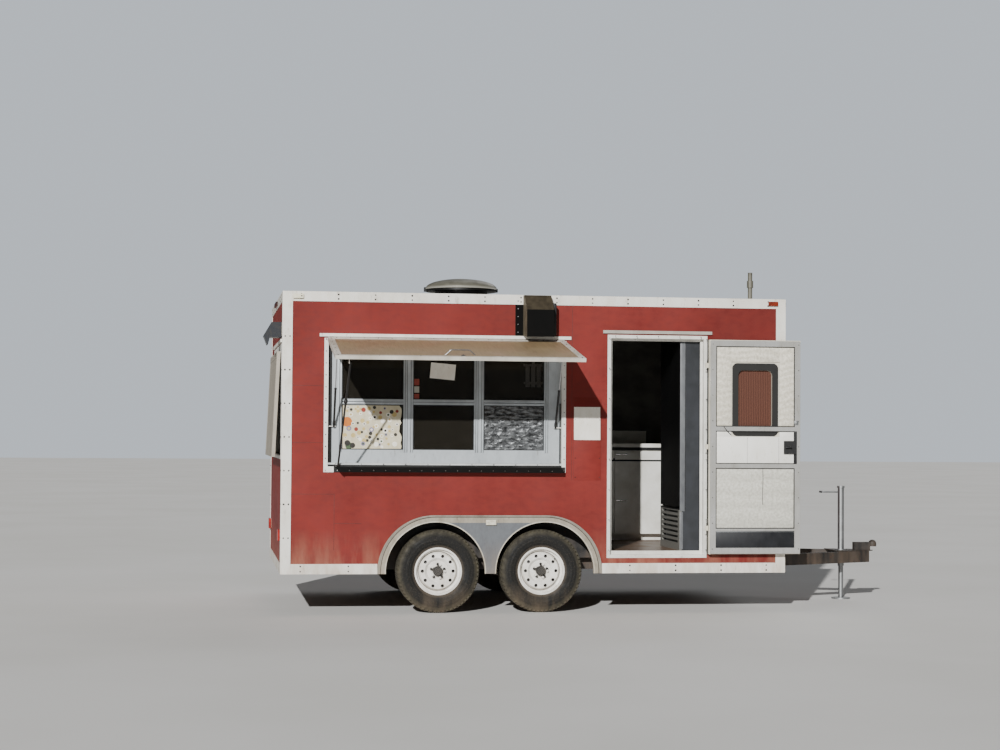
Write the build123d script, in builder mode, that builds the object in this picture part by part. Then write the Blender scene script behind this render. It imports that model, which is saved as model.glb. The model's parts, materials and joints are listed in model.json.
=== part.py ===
"""A two-axle concession trailer with a serving hatch, a side door and a roof fan.

Millimetres, +X to the front, +Y to the road side, +Z up. The origin is the centre of the
towing ball in the coupler. The side with the hatch and the door is the curb side, at -Y.
"""
import os
from math import cos, hypot, radians, sin, tan

from build123d import *

# Heights above the ground, which lies one ball height under the origin
BALL_HEIGHT = 500
GROUND = -BALL_HEIGHT
AXLE_Z = GROUND + 344
SKIRT_LOW = GROUND + 326
TONGUE_LOW = GROUND + 338
FLOOR_TOP = GROUND + 510
RAIL_LOW = GROUND + 2560
RAIL_TOP = GROUND + 2642

# The body, from outside to outside
BODY_LENGTH = 4245
BODY_WIDTH = 2440
WALL = 55
FLOOR_THICK = 22
ROOF_THICK = 40
ROOF_CROWN = 20
TONGUE_LENGTH = 1200
TRIM_PROUD = 4
SKIRT_HIGH = 83
POST_WIDE = 79
RAIL_LIP = 40

FRONT = -TONGUE_LENGTH
REAR = FRONT - BODY_LENGTH
SIDE = BODY_WIDTH / 2
CURB = -SIDE
FLOOR_LOW = FLOOR_TOP - FLOOR_THICK
SKIRT_TOP = SKIRT_LOW + SKIRT_HIGH
ROOF_LOW = RAIL_TOP - TRIM_PROUD - ROOF_THICK
INNER_X = (REAR + WALL, FRONT - WALL)
INNER_Y = SIDE - WALL

# The frame under the floor
MAIN_RAIL_WIDE = 50
MAIN_RAIL_HIGH = 150
MAIN_RAIL_Y = 835
EDGE_RAIL_WIDE = 50
EDGE_RAIL_HIGH = 100
TONGUE_RAIL_WIDE = 50
TONGUE_RAIL_HIGH = 100
TONGUE_HALF_ANGLE = 25
TONGUE_NOSE_X = -60
TONGUE_NOSE_Y = 62
CROSS_MEMBER_WIDE = 40
CROSS_MEMBER_HIGH = 75
CROSS_MEMBERS = 6

# Coupler and jack
BALL_R = 29.4
SOCKET_PLAY = 0.4
SOCKET_WALL = 7
SOCKET_MOUTH = 24
SOCKET_CLEAR = 6
COUPLER_THICK = 8
COUPLER_LONG = 330
NOSE_LONG = 120
NOSE_TOP = 15
JACK_X = -300
JACK_OUTER_R = 28.5
JACK_INNER_R = 22
JACK_TOP = GROUND + 1010
JACK_SPLIT = GROUND + 300
JACK_FOOT_R = 85
JACK_FOOT_THICK = 12
JACK_COLLAR = 24
JACK_COLLAR_THICK = 6
JACK_CAP = 18
JACK_CAP_LIP = 6
CRANK_DROP = 40
CRANK_Y = 66
CRANK_R = 7
CRANK_REACH = 150
CRANK_GRIP = (60, 150)
CRANK_GRIP_R = 10

# Wheels, axles and the torsion arms that carry them
WHEEL_X = REAR + 1298
AXLE_SPACING = 864
TYRE_R = 344
TYRE_WIDE = 205
TREAD_INSET = 24
SHOULDER_INSET = 8
SHOULDER_DEEP = 28
WIDEST_DEEP = 85
BEAD_R = 190
WHEEL_INSET = 20
WHEEL_Y = SIDE - WHEEL_INSET - TYRE_WIDE / 2
FLANGE_R = 207
RIM_GAUGE = 7
WELL_R = 165
WELL_SLOPE = 12
SPINDLE_R = 20
SPINDLE_PLAY = 0.05
HAND_HOLES = 10
HAND_HOLE_R = 14
HAND_RING_R = 128
HAND_RING_HALF = 19
STUDS = 5
STUD_RING_R = 57
STUD_R = 10
STUD_LONG = 22
STUD_FACE_R = 88
DRUM_R = 140
DRUM_DEEP = 60
DRUM_GAP = 8
BEAD_HALF = 82
FLANGE_HALF = 90
WELL_HALF = 38
DISC_OUT = 62
DISC_DISH = 16
DISC_FOOT = 26
HUB_R = 41
HUB_OUT = 72
CAP_R = 31
CAP_OUT = 92
SPINDLE_OUT = 66
SPINDLE_END = 2
SLEEVE_THICK = 12
PLATE_GAUGE = 6
AXLE_TUBE = 76
ARM_REACH = 140
ARM_RISE = 58
ARM_THICK = 30
ARM_Y = 890
ARM_R = (34, 44)

# Wheel boxes and the trim round the wheel openings
ARCH_OPENING_R = 412
ARCH_OPENING_SHIFT = 26
ARCH_SHIFT = 38
ARCH_Z = GROUND + 338
ARCH_TRIM_THICK = 5
ARCH_FLANGE = 30
ARCH_BEAD = 12
ARCH_BEAD_PROUD = 4
ARCH_LIP_THICK = 3
ARCH_LIP_DEEP = 28
BOX_CLEAR = 25
BOX_R = ARCH_OPENING_R + ARCH_LIP_THICK + BOX_CLEAR
ARCH_R = BOX_R + ARCH_FLANGE
BOX_WALL = 4
BOX_INNER_Y = 960
BOX_LOW = GROUND + 440

# Serving window
WINDOW_X = (REAR + 341, REAR + 2356)
WINDOW_Z = (GROUND + 1160, GROUND + 2261)
FRAME_THICK = 5
FRAME_SIDE = 34
FRAME_TOP = 25
FRAME_FOOT = 47
SLEEVE = 6
SHELF_THICK = 30
SHELF_REACH = 180
SHELF_X = (REAR + 432, REAR + 2289)
UNIT_THICK = 40
UNIT_SETBACK = 45
STILE_WIDE = 117
BAY_WIDE = 508
MULLION_WIDE = 82
BAYS = 3
PANE_LOW = GROUND + 1346
MEETING_RAIL = (GROUND + 1719, GROUND + 1763)
PANE_TOP = GROUND + 2165
GLASS = 5

# Serving hatch, its struts and its prop rod
HATCH_X = (REAR + 365, REAR + 2335)
HATCH_LONG = 985
HATCH_THICK = 27
HATCH_GAP = 6
HATCH_OPEN = 79
HATCH_EDGING = 50
HATCH_EDGING_PROUD = 2
HATCH_HINGE_DROP = 21
HANDLE_R = 5
HANDLE_HIGH = 40
HANDLE_FOOT = 118
HANDLE_TOP = 72
HANDLE_INSET = 105
HANDLE_BEND = 14
STRUT_INSET = 50
STRUT_BASE_Z = GROUND + 1536
STRUT_EYE_ALONG = 308
STRUT_EYE_UNDER = 34
STRUT_TUBE_R = 9
STRUT_ROD_R = 4
STRUT_TUBE_LONG = 345
STRUT_END = 25
STRUT_OVERLAP = 12
STRUT_PLAY = 0.05
STRUT_PIN_R = 4
STRUT_EYE_R = 8
STRUT_EYE_WIDE = 14
LUG_THICK = 4
LUG_HALF = 15
LUG_GAP = 0.4
PROP_R = 8
PROP_LIP = 1
PROP_FOOT_X = REAR + 448
PROP_TOP_X = REAR + 487
PROP_FOOT_OUT = 14
PROP_ALONG = 940
PROP_UNDER = 40
CATCH_HALF = 12

# Side door
DOOR_X = (FRONT - 1536, FRONT - 680)
DOOR_Z = (GROUND + 453, GROUND + 2320)
DOOR_FRAME_WIDE = 28
LEAF_THICK = 38
LEAF_GAP = 5
LEAF_PROUD = 15
DOOR_STOP = 20
LEAF_WINDOW = (404, 619)
LEAF_WINDOW_CORNER = 53
LEAF_WINDOW_PROUD = 3
LEAF_GLASS = (294, 495)
LEAF_WINDOW_Z = GROUND + 1785
LEAF_GLASS_CORNER = 45
LATCH_IN = 40
LATCH_WIDE = 108
LATCH_Z = (GROUND + 1330, GROUND + 1440)
LATCH_PROUD = 12
SCREEN_INSET = 5
SCREEN_THICK = 15
SCREEN_MEMBER = 48
SCREEN_CORNER = 10
SCREEN_CLEAR = 2
SLIDER_THICK = 10
KICK_THICK = 8
KNUCKLE_R = 7
KNUCKLE_OUT = 8
HINGE_SHARES = (0.12, 0.5, 0.88)

# Hinges: half the length of the moving knuckle, the outer end of the fixed ones and the gap between
KNUCKLE_HALF = 20
KNUCKLE_END = 50
KNUCKLE_GAP = 0.3
LEAF_PLATE = 4
LEAF_PLATE_LONG = 24
HATCH_KNUCKLE_R = 5
HATCH_KNUCKLE_ROOM = 0.8

# Rear hatch, of the same kind as the serving hatch
REAR_WINDOW_Y = (CURB + 105, CURB + 1720)
REAR_WINDOW_Z = (GROUND + 1262, GROUND + 2215)
REAR_FRAME_TOP = 70
REAR_HINGE_DROP = 65
REAR_HATCH_LONG = 870
REAR_HATCH_INSET = 24
REAR_HATCH_AJAR = 2.5

# Things on the roof and walls
VENT_X = REAR + 1626
VENT_BASE = 560
VENT_BRIM_R = 318
VENT_BRIM_Z = GROUND + 2755
VENT_TOP_Z = GROUND + 2857
VENT_BRIM_THICK = 22
VENT_CURB_HIGH = 60
VENT_THROAT_R = 235
FLUE_X = FRONT - 250
FLUE_Y = CURB + 205
FLUE_R = 19
FLUE_COLLAR_R = 27
FLUE_COLLAR = (130, 70)
FLUE_TOP = GROUND + 2880
HOOD_X = (REAR + 1990, REAR + 2216)
HOOD_Z = (GROUND + 2285, GROUND + 2636)
HOOD_REACH = 200
HOOD_BEVEL = (140, 127)
HOOD_BACK_RISE = 15
HOOD_WALL = 4
HOOD_PLATE = (66, 48)
REAR_LAMP_Y = (CURB + 180, CURB + 400)
REAR_LAMP_Z = (GROUND + 2270, GROUND + 2395)
REAR_LAMP_REACH = 150
REAR_LAMP_VISOR = 62
REAR_LAMP_FACE = 110
LAMP_THICK = 18
WEB_LAMP_HALF = 42
WEB_LAMP_Z = (GROUND + 729, GROUND + 770)
DRIP_RAIL_THICK = 14
DRIP_RAIL_HIGH = 26
RAIL_ABOVE = 11
RAIL_SIDE = 40

# Inside
FRIDGE_X = (FRONT - 895, FRONT - 115)
FRIDGE_Y = (CURB + 75, CURB + 770)
FRIDGE_TOP = GROUND + 2380
COUNTER_X = (FRONT - 1595, FRONT - 665)
COUNTER_Y = CURB + 1640
COUNTER_TOP = GROUND + 1400
COUNTER_THICK = 33
UNITS = 2
UNIT_TOP = GROUND + 1330
KICK_HIGH = 60
KICK_DEEP = 60
SPLASH_THICK = 20
SPLASH_HIGH = 120
UNIT_FRONT = 20
FRONT_INSET = 8
DRAWER_HIGH = 78
GRILLE_SLATS = 7
GRILLE_PITCH = 42
GRILLE_FOOT = 60
SEAM_DEEP = 30
SEAM_HIGH = 12

FIXED_SPANS = ((-KNUCKLE_END, -KNUCKLE_HALF - KNUCKLE_GAP), (KNUCKLE_HALF + KNUCKLE_GAP, KNUCKLE_END))
MOVING_SPANS = ((-KNUCKLE_HALF, KNUCKLE_HALF),)
ROOM_SPANS = ((-KNUCKLE_END - KNUCKLE_GAP, -KNUCKLE_HALF), (KNUCKLE_HALF, KNUCKLE_END + KNUCKLE_GAP))
SIDES = (("curb", -1), ("road", 1))
AXLES = (("rear", WHEEL_X), ("front", WHEEL_X + AXLE_SPACING))
# The screen door's cross bars, from low to high: foot and top of each
SCREEN_BARS = (
    (GROUND + 682, GROUND + 700),
    (GROUND + 1210, GROUND + 1244),
    (GROUND + 1522, GROUND + 1557),
)


def save(piece, name, turn=None):
    """Labels a finished piece and writes it, turned about an axis by an angle if one is given."""
    solid = piece.part.rotate(*turn) if turn else piece.part
    solid.label = name
    export_step(solid, f"parts/{name}.step")


def block(x, y, z, mode=Mode.ADD):
    """Adds a block between two values along each axis, or cuts it."""
    x, y, z = sorted(x), sorted(y), sorted(z)
    with Locations(((x[0] + x[1]) / 2, (y[0] + y[1]) / 2, (z[0] + z[1]) / 2)):
        Box(x[1] - x[0], y[1] - y[0], z[1] - z[0], mode=mode)


def bar(start, end, radius, mode=Mode.ADD):
    """Adds a round bar from one point to another, or bores it."""
    along = Vector(*end) - Vector(*start)
    with Locations(Plane(origin=start, z_dir=along)):
        Cylinder(radius, along.length, align=(Align.CENTER, Align.CENTER, Align.MIN), mode=mode)


def knuckles(point, places, spans, radius, mode=Mode.ADD):
    """Adds a hinge's round knuckles, or clears room for them; point gives a place along its axis."""
    for place in places:
        for low, high in spans:
            bar(point(place + low), point(place + high), radius, mode)


def both(side, low, high):
    """A pair of distances from the middle, put on one side of the trailer."""
    return side * low, side * high


def upright(y):
    """A plane drawn in X and Z at one Y, whose normal points to the curb side."""
    return Plane(origin=(0, y, 0), x_dir=(1, 0, 0), z_dir=(0, -1, 0))


def crosswise(x):
    """A plane drawn in Y and Z at one X, whose normal points to the front."""
    return Plane(origin=(x, 0, 0), x_dir=(0, 1, 0), z_dir=(1, 0, 0))


def box_outline(x, z, mode=Mode.ADD):
    """Adds a rectangle between two values along each axis of a sketch, or cuts it."""
    with Locations(((x[0] + x[1]) / 2, (z[0] + z[1]) / 2)):
        Rectangle(abs(x[1] - x[0]), abs(z[1] - z[0]), mode=mode)


def arch_outline(radius, shift):
    """The round-ended outline over both wheels."""
    with BuildSketch() as outline:
        with Locations((WHEEL_X - shift, ARCH_Z), (WHEEL_X + AXLE_SPACING + shift, ARCH_Z)):
            Circle(radius)
        make_hull()
    return outline.sketch


def opening_pair(radius):
    """The two round wheel openings, one for each axle."""
    with BuildSketch() as outline:
        with Locations((WHEEL_X - ARCH_OPENING_SHIFT, ARCH_Z),
                       (WHEEL_X + AXLE_SPACING + ARCH_OPENING_SHIFT, ARCH_Z)):
            Circle(radius)
    return outline.sketch


os.makedirs("parts", exist_ok=True)

# Frame: main rails, with edge rails fore and aft of the wheel boxes
box_x = (WHEEL_X - ARCH_SHIFT - BOX_R - BOX_WALL, WHEEL_X + AXLE_SPACING + ARCH_SHIFT + BOX_R + BOX_WALL)
main_inner = MAIN_RAIL_Y - MAIN_RAIL_WIDE / 2
main_outer = MAIN_RAIL_Y + MAIN_RAIL_WIDE / 2
edge_inner = INNER_Y - EDGE_RAIL_WIDE
with BuildPart() as chassis_frame:
    for _, side in SIDES:
        block(INNER_X, both(side, main_inner, main_outer), (FLOOR_LOW - MAIN_RAIL_HIGH, FLOOR_LOW))
        for edge_x in ((INNER_X[0], box_x[0]), (box_x[1], INNER_X[1])):
            block(edge_x, both(side, edge_inner, INNER_Y), (FLOOR_LOW - EDGE_RAIL_HIGH, FLOOR_LOW))
save(chassis_frame, "chassis_frame")

# Cross members between the main rails, with outriggers to the edge rails
member_step = (INNER_X[1] - INNER_X[0] - CROSS_MEMBER_WIDE) / (CROSS_MEMBERS - 1)
member_z = (FLOOR_LOW - CROSS_MEMBER_HIGH, FLOOR_LOW)
with BuildPart() as cross_members:
    for i in range(CROSS_MEMBERS):
        member_x = (INNER_X[0] + member_step * i, INNER_X[0] + member_step * i + CROSS_MEMBER_WIDE)
        block(member_x, (-main_inner, main_inner), member_z)
        if member_x[1] < box_x[0] or member_x[0] > box_x[1]:
            for _, side in SIDES:
                block(member_x, both(side, main_outer, edge_inner), member_z)
save(cross_members, "cross_members")

# A-frame: two rails from the coupler to the main rails, notched for the front cross member
spread = tan(radians(TONGUE_HALF_ANGLE))
tongue_tail_x = TONGUE_NOSE_X - (MAIN_RAIL_Y - TONGUE_NOSE_Y) / spread
rail_cut = TONGUE_RAIL_WIDE / 2 / cos(radians(TONGUE_HALF_ANGLE))
with BuildPart() as tongue_rails:
    for _, side in SIDES:
        with BuildSketch(Plane.XY.offset(TONGUE_LOW)):
            with BuildLine():
                Polyline(
                    (TONGUE_NOSE_X, side * (TONGUE_NOSE_Y - rail_cut)),
                    (TONGUE_NOSE_X, side * (TONGUE_NOSE_Y + rail_cut)),
                    (tongue_tail_x, side * (MAIN_RAIL_Y + rail_cut)),
                    (tongue_tail_x, side * (MAIN_RAIL_Y - rail_cut)),
                    close=True,
                )
            make_face()
        extrude(amount=TONGUE_RAIL_HIGH)
        block(INNER_X, both(side, main_inner, INNER_Y), (TONGUE_LOW, FLOOR_LOW), mode=Mode.SUBTRACT)
    block((INNER_X[1] - CROSS_MEMBER_WIDE, INNER_X[1]), (-main_inner, main_inner), member_z, mode=Mode.SUBTRACT)
save(tongue_rails, "tongue_rails")

# Coupler: a socket for the ball in the nose of a pressed A-shaped housing
coupler_low = TONGUE_LOW + TONGUE_RAIL_HIGH
socket_r = BALL_R + SOCKET_PLAY
nose_y = TONGUE_NOSE_Y / 2
tail_y = TONGUE_NOSE_Y + COUPLER_LONG * spread
with BuildPart() as coupler:
    with BuildSketch(Plane.XY.offset(coupler_low)):
        with BuildLine():
            Polyline(
                (0, -nose_y), (0, nose_y), (TONGUE_NOSE_X, TONGUE_NOSE_Y + rail_cut),
                (TONGUE_NOSE_X - COUPLER_LONG, tail_y), (TONGUE_NOSE_X - COUPLER_LONG, -tail_y),
                (TONGUE_NOSE_X, -TONGUE_NOSE_Y - rail_cut), close=True,
            )
        make_face()
    extrude(amount=COUPLER_THICK)
    with BuildSketch(Plane.XY.offset(coupler_low)):
        Circle(socket_r + SOCKET_WALL + SOCKET_CLEAR)
        with Locations((JACK_X, 0)):
            Circle(JACK_OUTER_R)
    extrude(amount=COUPLER_THICK, mode=Mode.SUBTRACT)
    block((TONGUE_NOSE_X - NOSE_LONG, -socket_r), (-nose_y, nose_y), (coupler_low + COUPLER_THICK, NOSE_TOP))
    block((TONGUE_NOSE_X - NOSE_LONG, TONGUE_NOSE_X + SOCKET_CLEAR), (-nose_y, nose_y), (coupler_low, NOSE_TOP))
    with BuildSketch(Plane.XY.offset(-SOCKET_MOUTH)):
        Circle(socket_r + SOCKET_WALL)
    extrude(amount=SOCKET_MOUTH)
    Sphere(socket_r + SOCKET_WALL, arc_size1=0, align=(Align.CENTER, Align.CENTER, Align.MIN))
    with BuildSketch(Plane.XY.offset(coupler_low)):
        Circle(socket_r + SOCKET_WALL + SOCKET_CLEAR)
    extrude(amount=-SOCKET_MOUTH - coupler_low, mode=Mode.SUBTRACT)
    with BuildSketch(Plane.XY.offset(coupler_low)):
        Circle(socket_r)
    extrude(amount=-coupler_low, mode=Mode.SUBTRACT)
    Sphere(socket_r, mode=Mode.SUBTRACT)
save(coupler, "coupler")

# Jack: the trailer stands on its foot; the inner tube slides in the outer one
with BuildPart() as tongue_jack:
    bar((JACK_X, 0, JACK_SPLIT), (JACK_X, 0, JACK_TOP), JACK_OUTER_R)
    bar((JACK_X, 0, GROUND), (JACK_X, 0, JACK_SPLIT), JACK_INNER_R)
    bar((JACK_X, 0, GROUND), (JACK_X, 0, GROUND + JACK_FOOT_THICK), JACK_FOOT_R)
    collar_z = coupler_low + COUPLER_THICK
    bar((JACK_X, 0, collar_z), (JACK_X, 0, collar_z + JACK_COLLAR_THICK), JACK_OUTER_R + JACK_COLLAR)
    bar((JACK_X, 0, JACK_TOP), (JACK_X, 0, JACK_TOP + JACK_CAP), JACK_OUTER_R + JACK_CAP_LIP)
    crank_z = JACK_TOP - CRANK_DROP
    crank_end = JACK_X - CRANK_REACH
    bar((JACK_X, 0, crank_z), (JACK_X, CRANK_Y + CRANK_R, crank_z), CRANK_R)
    bar((JACK_X, CRANK_Y, crank_z), (crank_end, CRANK_Y, crank_z), CRANK_R)
    bar((crank_end, CRANK_GRIP[0], crank_z), (crank_end, CRANK_GRIP[1], crank_z), CRANK_GRIP_R)
save(tongue_jack, "tongue_jack")

# Axles: a torsion tube under the main rails with an arm and a spindle at each end
tube_z = (AXLE_Z - ARM_RISE - AXLE_TUBE / 2, AXLE_Z - ARM_RISE + AXLE_TUBE / 2)
plate_out = WHEEL_Y - DRUM_DEEP - PLATE_GAUGE
with BuildPart() as axles:
    for _, wheel_x in AXLES:
        tube_x = wheel_x + ARM_REACH
        block((tube_x - AXLE_TUBE / 2, tube_x + AXLE_TUBE / 2), (-ARM_Y, ARM_Y), tube_z)
        for _, side in SIDES:
            seat_y = both(side, main_inner, main_outer)
            block((tube_x - AXLE_TUBE, tube_x + AXLE_TUBE), seat_y, (tube_z[1] - 1, FLOOR_LOW - MAIN_RAIL_HIGH))
            with BuildSketch(Plane(origin=(wheel_x, side * ARM_Y, AXLE_Z), x_dir=(1, 0, 0), z_dir=(0, side, 0))):
                with Locations((0, 0)):
                    Circle(ARM_R[0])
                with Locations((ARM_REACH, side * ARM_RISE)):
                    Circle(ARM_R[1])
                make_hull()
            extrude(amount=ARM_THICK)
            inner_end = (wheel_x, side * ARM_Y, AXLE_Z)
            bar(inner_end, (wheel_x, side * plate_out, AXLE_Z), SPINDLE_R + SLEEVE_THICK)
            bar((wheel_x, side * (plate_out - PLATE_GAUGE), AXLE_Z), (wheel_x, side * plate_out, AXLE_Z), DRUM_R)
            bar(inner_end, (wheel_x, side * (WHEEL_Y + SPINDLE_OUT), AXLE_Z), SPINDLE_R)
save(axles, "axles")

# Wheels: a steel rim with a ring of hand holes, its hub and drum, and a tyre
for axle, wheel_x in AXLES:
    for name, side in SIDES:
        across = Plane(origin=(wheel_x, side * WHEEL_Y, AXLE_Z), x_dir=(0, side, 0), z_dir=(side, 0, 0))
        axis = Axis((wheel_x, side * WHEEL_Y, AXLE_Z), (0, side, 0))
        outward = Plane(origin=(wheel_x, side * WHEEL_Y, AXLE_Z), x_dir=(1, 0, 0), z_dir=(0, side, 0))
        with BuildPart() as tyre:
            with BuildSketch(across):
                with BuildLine():
                    half = TYRE_WIDE / 2
                    widest_r = TYRE_R - WIDEST_DEEP
                    lip_share = (FLANGE_R - BEAD_R) / (widest_r - BEAD_R)
                    foot = (BEAD_HALF - half * lip_share) / (1 - lip_share)
                    Polyline(
                        (-foot, BEAD_R), (-half, widest_r),
                        (-half + SHOULDER_INSET, TYRE_R - SHOULDER_DEEP), (-half + TREAD_INSET, TYRE_R),
                        (half - TREAD_INSET, TYRE_R), (half - SHOULDER_INSET, TYRE_R - SHOULDER_DEEP),
                        (half, widest_r), (foot, BEAD_R), close=True,
                    )
                make_face()
            revolve(axis=axis)
        save(tyre, f"tyre_{axle}_{name}")
        with BuildPart() as rim:
            with BuildSketch(across):
                with BuildLine():
                    inner_r = (WELL_R - RIM_GAUGE, BEAD_R - RIM_GAUGE)
                    Polyline(
                        (-FLANGE_HALF, FLANGE_R), (-BEAD_HALF, FLANGE_R), (-BEAD_HALF, BEAD_R),
                        (-WELL_HALF - WELL_SLOPE, BEAD_R), (-WELL_HALF, WELL_R), (WELL_HALF, WELL_R),
                        (WELL_HALF + WELL_SLOPE, BEAD_R), (BEAD_HALF, BEAD_R), (BEAD_HALF, FLANGE_R),
                        (FLANGE_HALF, FLANGE_R), (FLANGE_HALF, inner_r[1]),
                        (WELL_HALF + WELL_SLOPE + RIM_GAUGE, inner_r[1]), (WELL_HALF + RIM_GAUGE, inner_r[0]),
                        (-WELL_HALF - RIM_GAUGE, inner_r[0]), (-WELL_HALF - WELL_SLOPE - RIM_GAUGE, inner_r[1]),
                        (-FLANGE_HALF, inner_r[1]), close=True,
                    )
                make_face()
            revolve(axis=axis)
            disc_back = DISC_OUT - RIM_GAUGE
            hub_face = DISC_OUT - DISC_DISH
            with BuildSketch(across):
                with BuildLine():
                    Polyline(
                        (DISC_OUT - DISC_FOOT, inner_r[0] + 1), (DISC_OUT, HAND_RING_R + HAND_RING_HALF),
                        (DISC_OUT, HAND_RING_R - HAND_RING_HALF), (hub_face, STUD_FACE_R), (hub_face, HUB_R),
                        (HUB_OUT, HUB_R), (HUB_OUT, CAP_R), (CAP_OUT, CAP_R), (CAP_OUT, 0),
                        (SPINDLE_OUT + SPINDLE_END, 0), (SPINDLE_OUT + SPINDLE_END, SPINDLE_R + SPINDLE_PLAY),
                        (-DRUM_DEEP, SPINDLE_R + SPINDLE_PLAY), (-DRUM_DEEP, DRUM_R),
                        (hub_face - RIM_GAUGE - DRUM_GAP, DRUM_R), (hub_face - RIM_GAUGE, STUD_FACE_R),
                        (disc_back, HAND_RING_R - HAND_RING_HALF), (disc_back, HAND_RING_R + HAND_RING_HALF),
                        (DISC_OUT - DISC_FOOT - RIM_GAUGE, inner_r[0] + 1), close=True,
                    )
                make_face()
            revolve(axis=axis)
            with BuildSketch(outward.offset(hub_face - RIM_GAUGE)):
                with PolarLocations(HAND_RING_R, HAND_HOLES):
                    Circle(HAND_HOLE_R)
            extrude(amount=DISC_DISH + RIM_GAUGE, mode=Mode.SUBTRACT)
            with BuildSketch(outward.offset(hub_face)):
                with PolarLocations(STUD_RING_R, STUDS):
                    Circle(STUD_R)
            extrude(amount=STUD_LONG)
        save(rim, f"rim_{axle}_{name}")

# Floor, with the wheel boxes' outlines cut out of it
with BuildPart() as floor:
    block(INNER_X, (-INNER_Y, INNER_Y), (FLOOR_LOW, FLOOR_TOP))
    for _, side in SIDES:
        with BuildSketch(upright(side * (BOX_INNER_Y - BOX_WALL))):
            add(arch_outline(BOX_R + BOX_WALL, ARCH_SHIFT))
        extrude(amount=-side * (INNER_Y - BOX_INNER_Y + BOX_WALL), mode=Mode.SUBTRACT)
save(floor, "floor")

# Side walls
sleeve_x = (WINDOW_X[0] + FRAME_SIDE - SLEEVE, WINDOW_X[1] - FRAME_SIDE + SLEEVE)
sleeve_z = (WINDOW_Z[0] + FRAME_FOOT - SLEEVE, WINDOW_Z[1] - FRAME_TOP + SLEEVE)
pocket_x = (DOOR_X[0] + DOOR_FRAME_WIDE, DOOR_X[1] - DOOR_FRAME_WIDE)
pocket_z = (DOOR_Z[0] + DOOR_FRAME_WIDE, DOOR_Z[1] - DOOR_FRAME_WIDE)
door_sleeve_x = (pocket_x[0] - SLEEVE, pocket_x[1] + SLEEVE)
door_sleeve_z = (pocket_z[0] - SLEEVE, pocket_z[1] + SLEEVE)
for name, side in SIDES:
    with BuildPart() as side_wall:
        with BuildSketch(upright(side * INNER_Y)):
            box_outline((REAR, FRONT), (SKIRT_LOW, ROOF_LOW))
            add(arch_outline(BOX_R, ARCH_SHIFT), mode=Mode.SUBTRACT)
            if name == "curb":
                box_outline(sleeve_x, sleeve_z, mode=Mode.SUBTRACT)
                box_outline(door_sleeve_x, door_sleeve_z, mode=Mode.SUBTRACT)
        extrude(amount=-side * WALL)
    save(side_wall, f"side_wall_{name}")

# End walls; the front one ends above the tongue
front_low = TONGUE_LOW + TONGUE_RAIL_HIGH + 2
rear_sleeve_y = (REAR_WINDOW_Y[0] + FRAME_SIDE - SLEEVE, REAR_WINDOW_Y[1] - FRAME_SIDE + SLEEVE)
rear_sleeve_z = (REAR_WINDOW_Z[0] + FRAME_SIDE - SLEEVE, REAR_WINDOW_Z[1] - REAR_FRAME_TOP + SLEEVE)
with BuildPart() as front_wall:
    block((FRONT - WALL, FRONT), (-INNER_Y, INNER_Y), (front_low, ROOF_LOW))
save(front_wall, "front_wall")
with BuildPart() as rear_wall:
    with BuildSketch(crosswise(REAR)):
        box_outline((-INNER_Y, INNER_Y), (SKIRT_LOW, ROOF_LOW))
        box_outline(rear_sleeve_y, rear_sleeve_z, mode=Mode.SUBTRACT)
    extrude(amount=WALL)
save(rear_wall, "rear_wall")

# Roof: a flat slab with a crowned skin inside the lip of its rail
roof_top = RAIL_TOP - TRIM_PROUD
lip_y = SIDE - RAIL_LIP
with BuildPart() as roof:
    block((REAR, FRONT), (-SIDE, SIDE), (ROOF_LOW, roof_top))
    with BuildSketch(crosswise(REAR + RAIL_LIP)):
        with BuildLine():
            Line((-lip_y, roof_top), (lip_y, roof_top))
            ThreePointArc((lip_y, roof_top), (0, roof_top + ROOF_CROWN), (-lip_y, roof_top))
        make_face()
    extrude(amount=BODY_LENGTH - 2 * RAIL_LIP)
    vent_x = (VENT_X - VENT_BASE / 2, VENT_X + VENT_BASE / 2)
    block(vent_x, (-VENT_BASE / 2, VENT_BASE / 2), (roof_top, roof_top + ROOF_CROWN), mode=Mode.SUBTRACT)
    bar((FLUE_X, FLUE_Y, ROOF_LOW), (FLUE_X, FLUE_Y, roof_top + ROOF_CROWN), FLUE_R, mode=Mode.SUBTRACT)
save(roof, "roof")
with BuildPart() as roof_trim:
    block((REAR - TRIM_PROUD, FRONT + TRIM_PROUD), (-SIDE - TRIM_PROUD, SIDE + TRIM_PROUD), (RAIL_LOW, RAIL_TOP))
    fillet(roof_trim.faces().sort_by(Axis.Z)[-1].edges(), TRIM_PROUD * 0.9)
    block((REAR, FRONT), (-SIDE, SIDE), (RAIL_LOW, roof_top), mode=Mode.SUBTRACT)
    block((REAR + RAIL_LIP, FRONT - RAIL_LIP), (-lip_y, lip_y), (roof_top, RAIL_TOP), mode=Mode.SUBTRACT)
save(roof_trim, "roof_trim")

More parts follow.
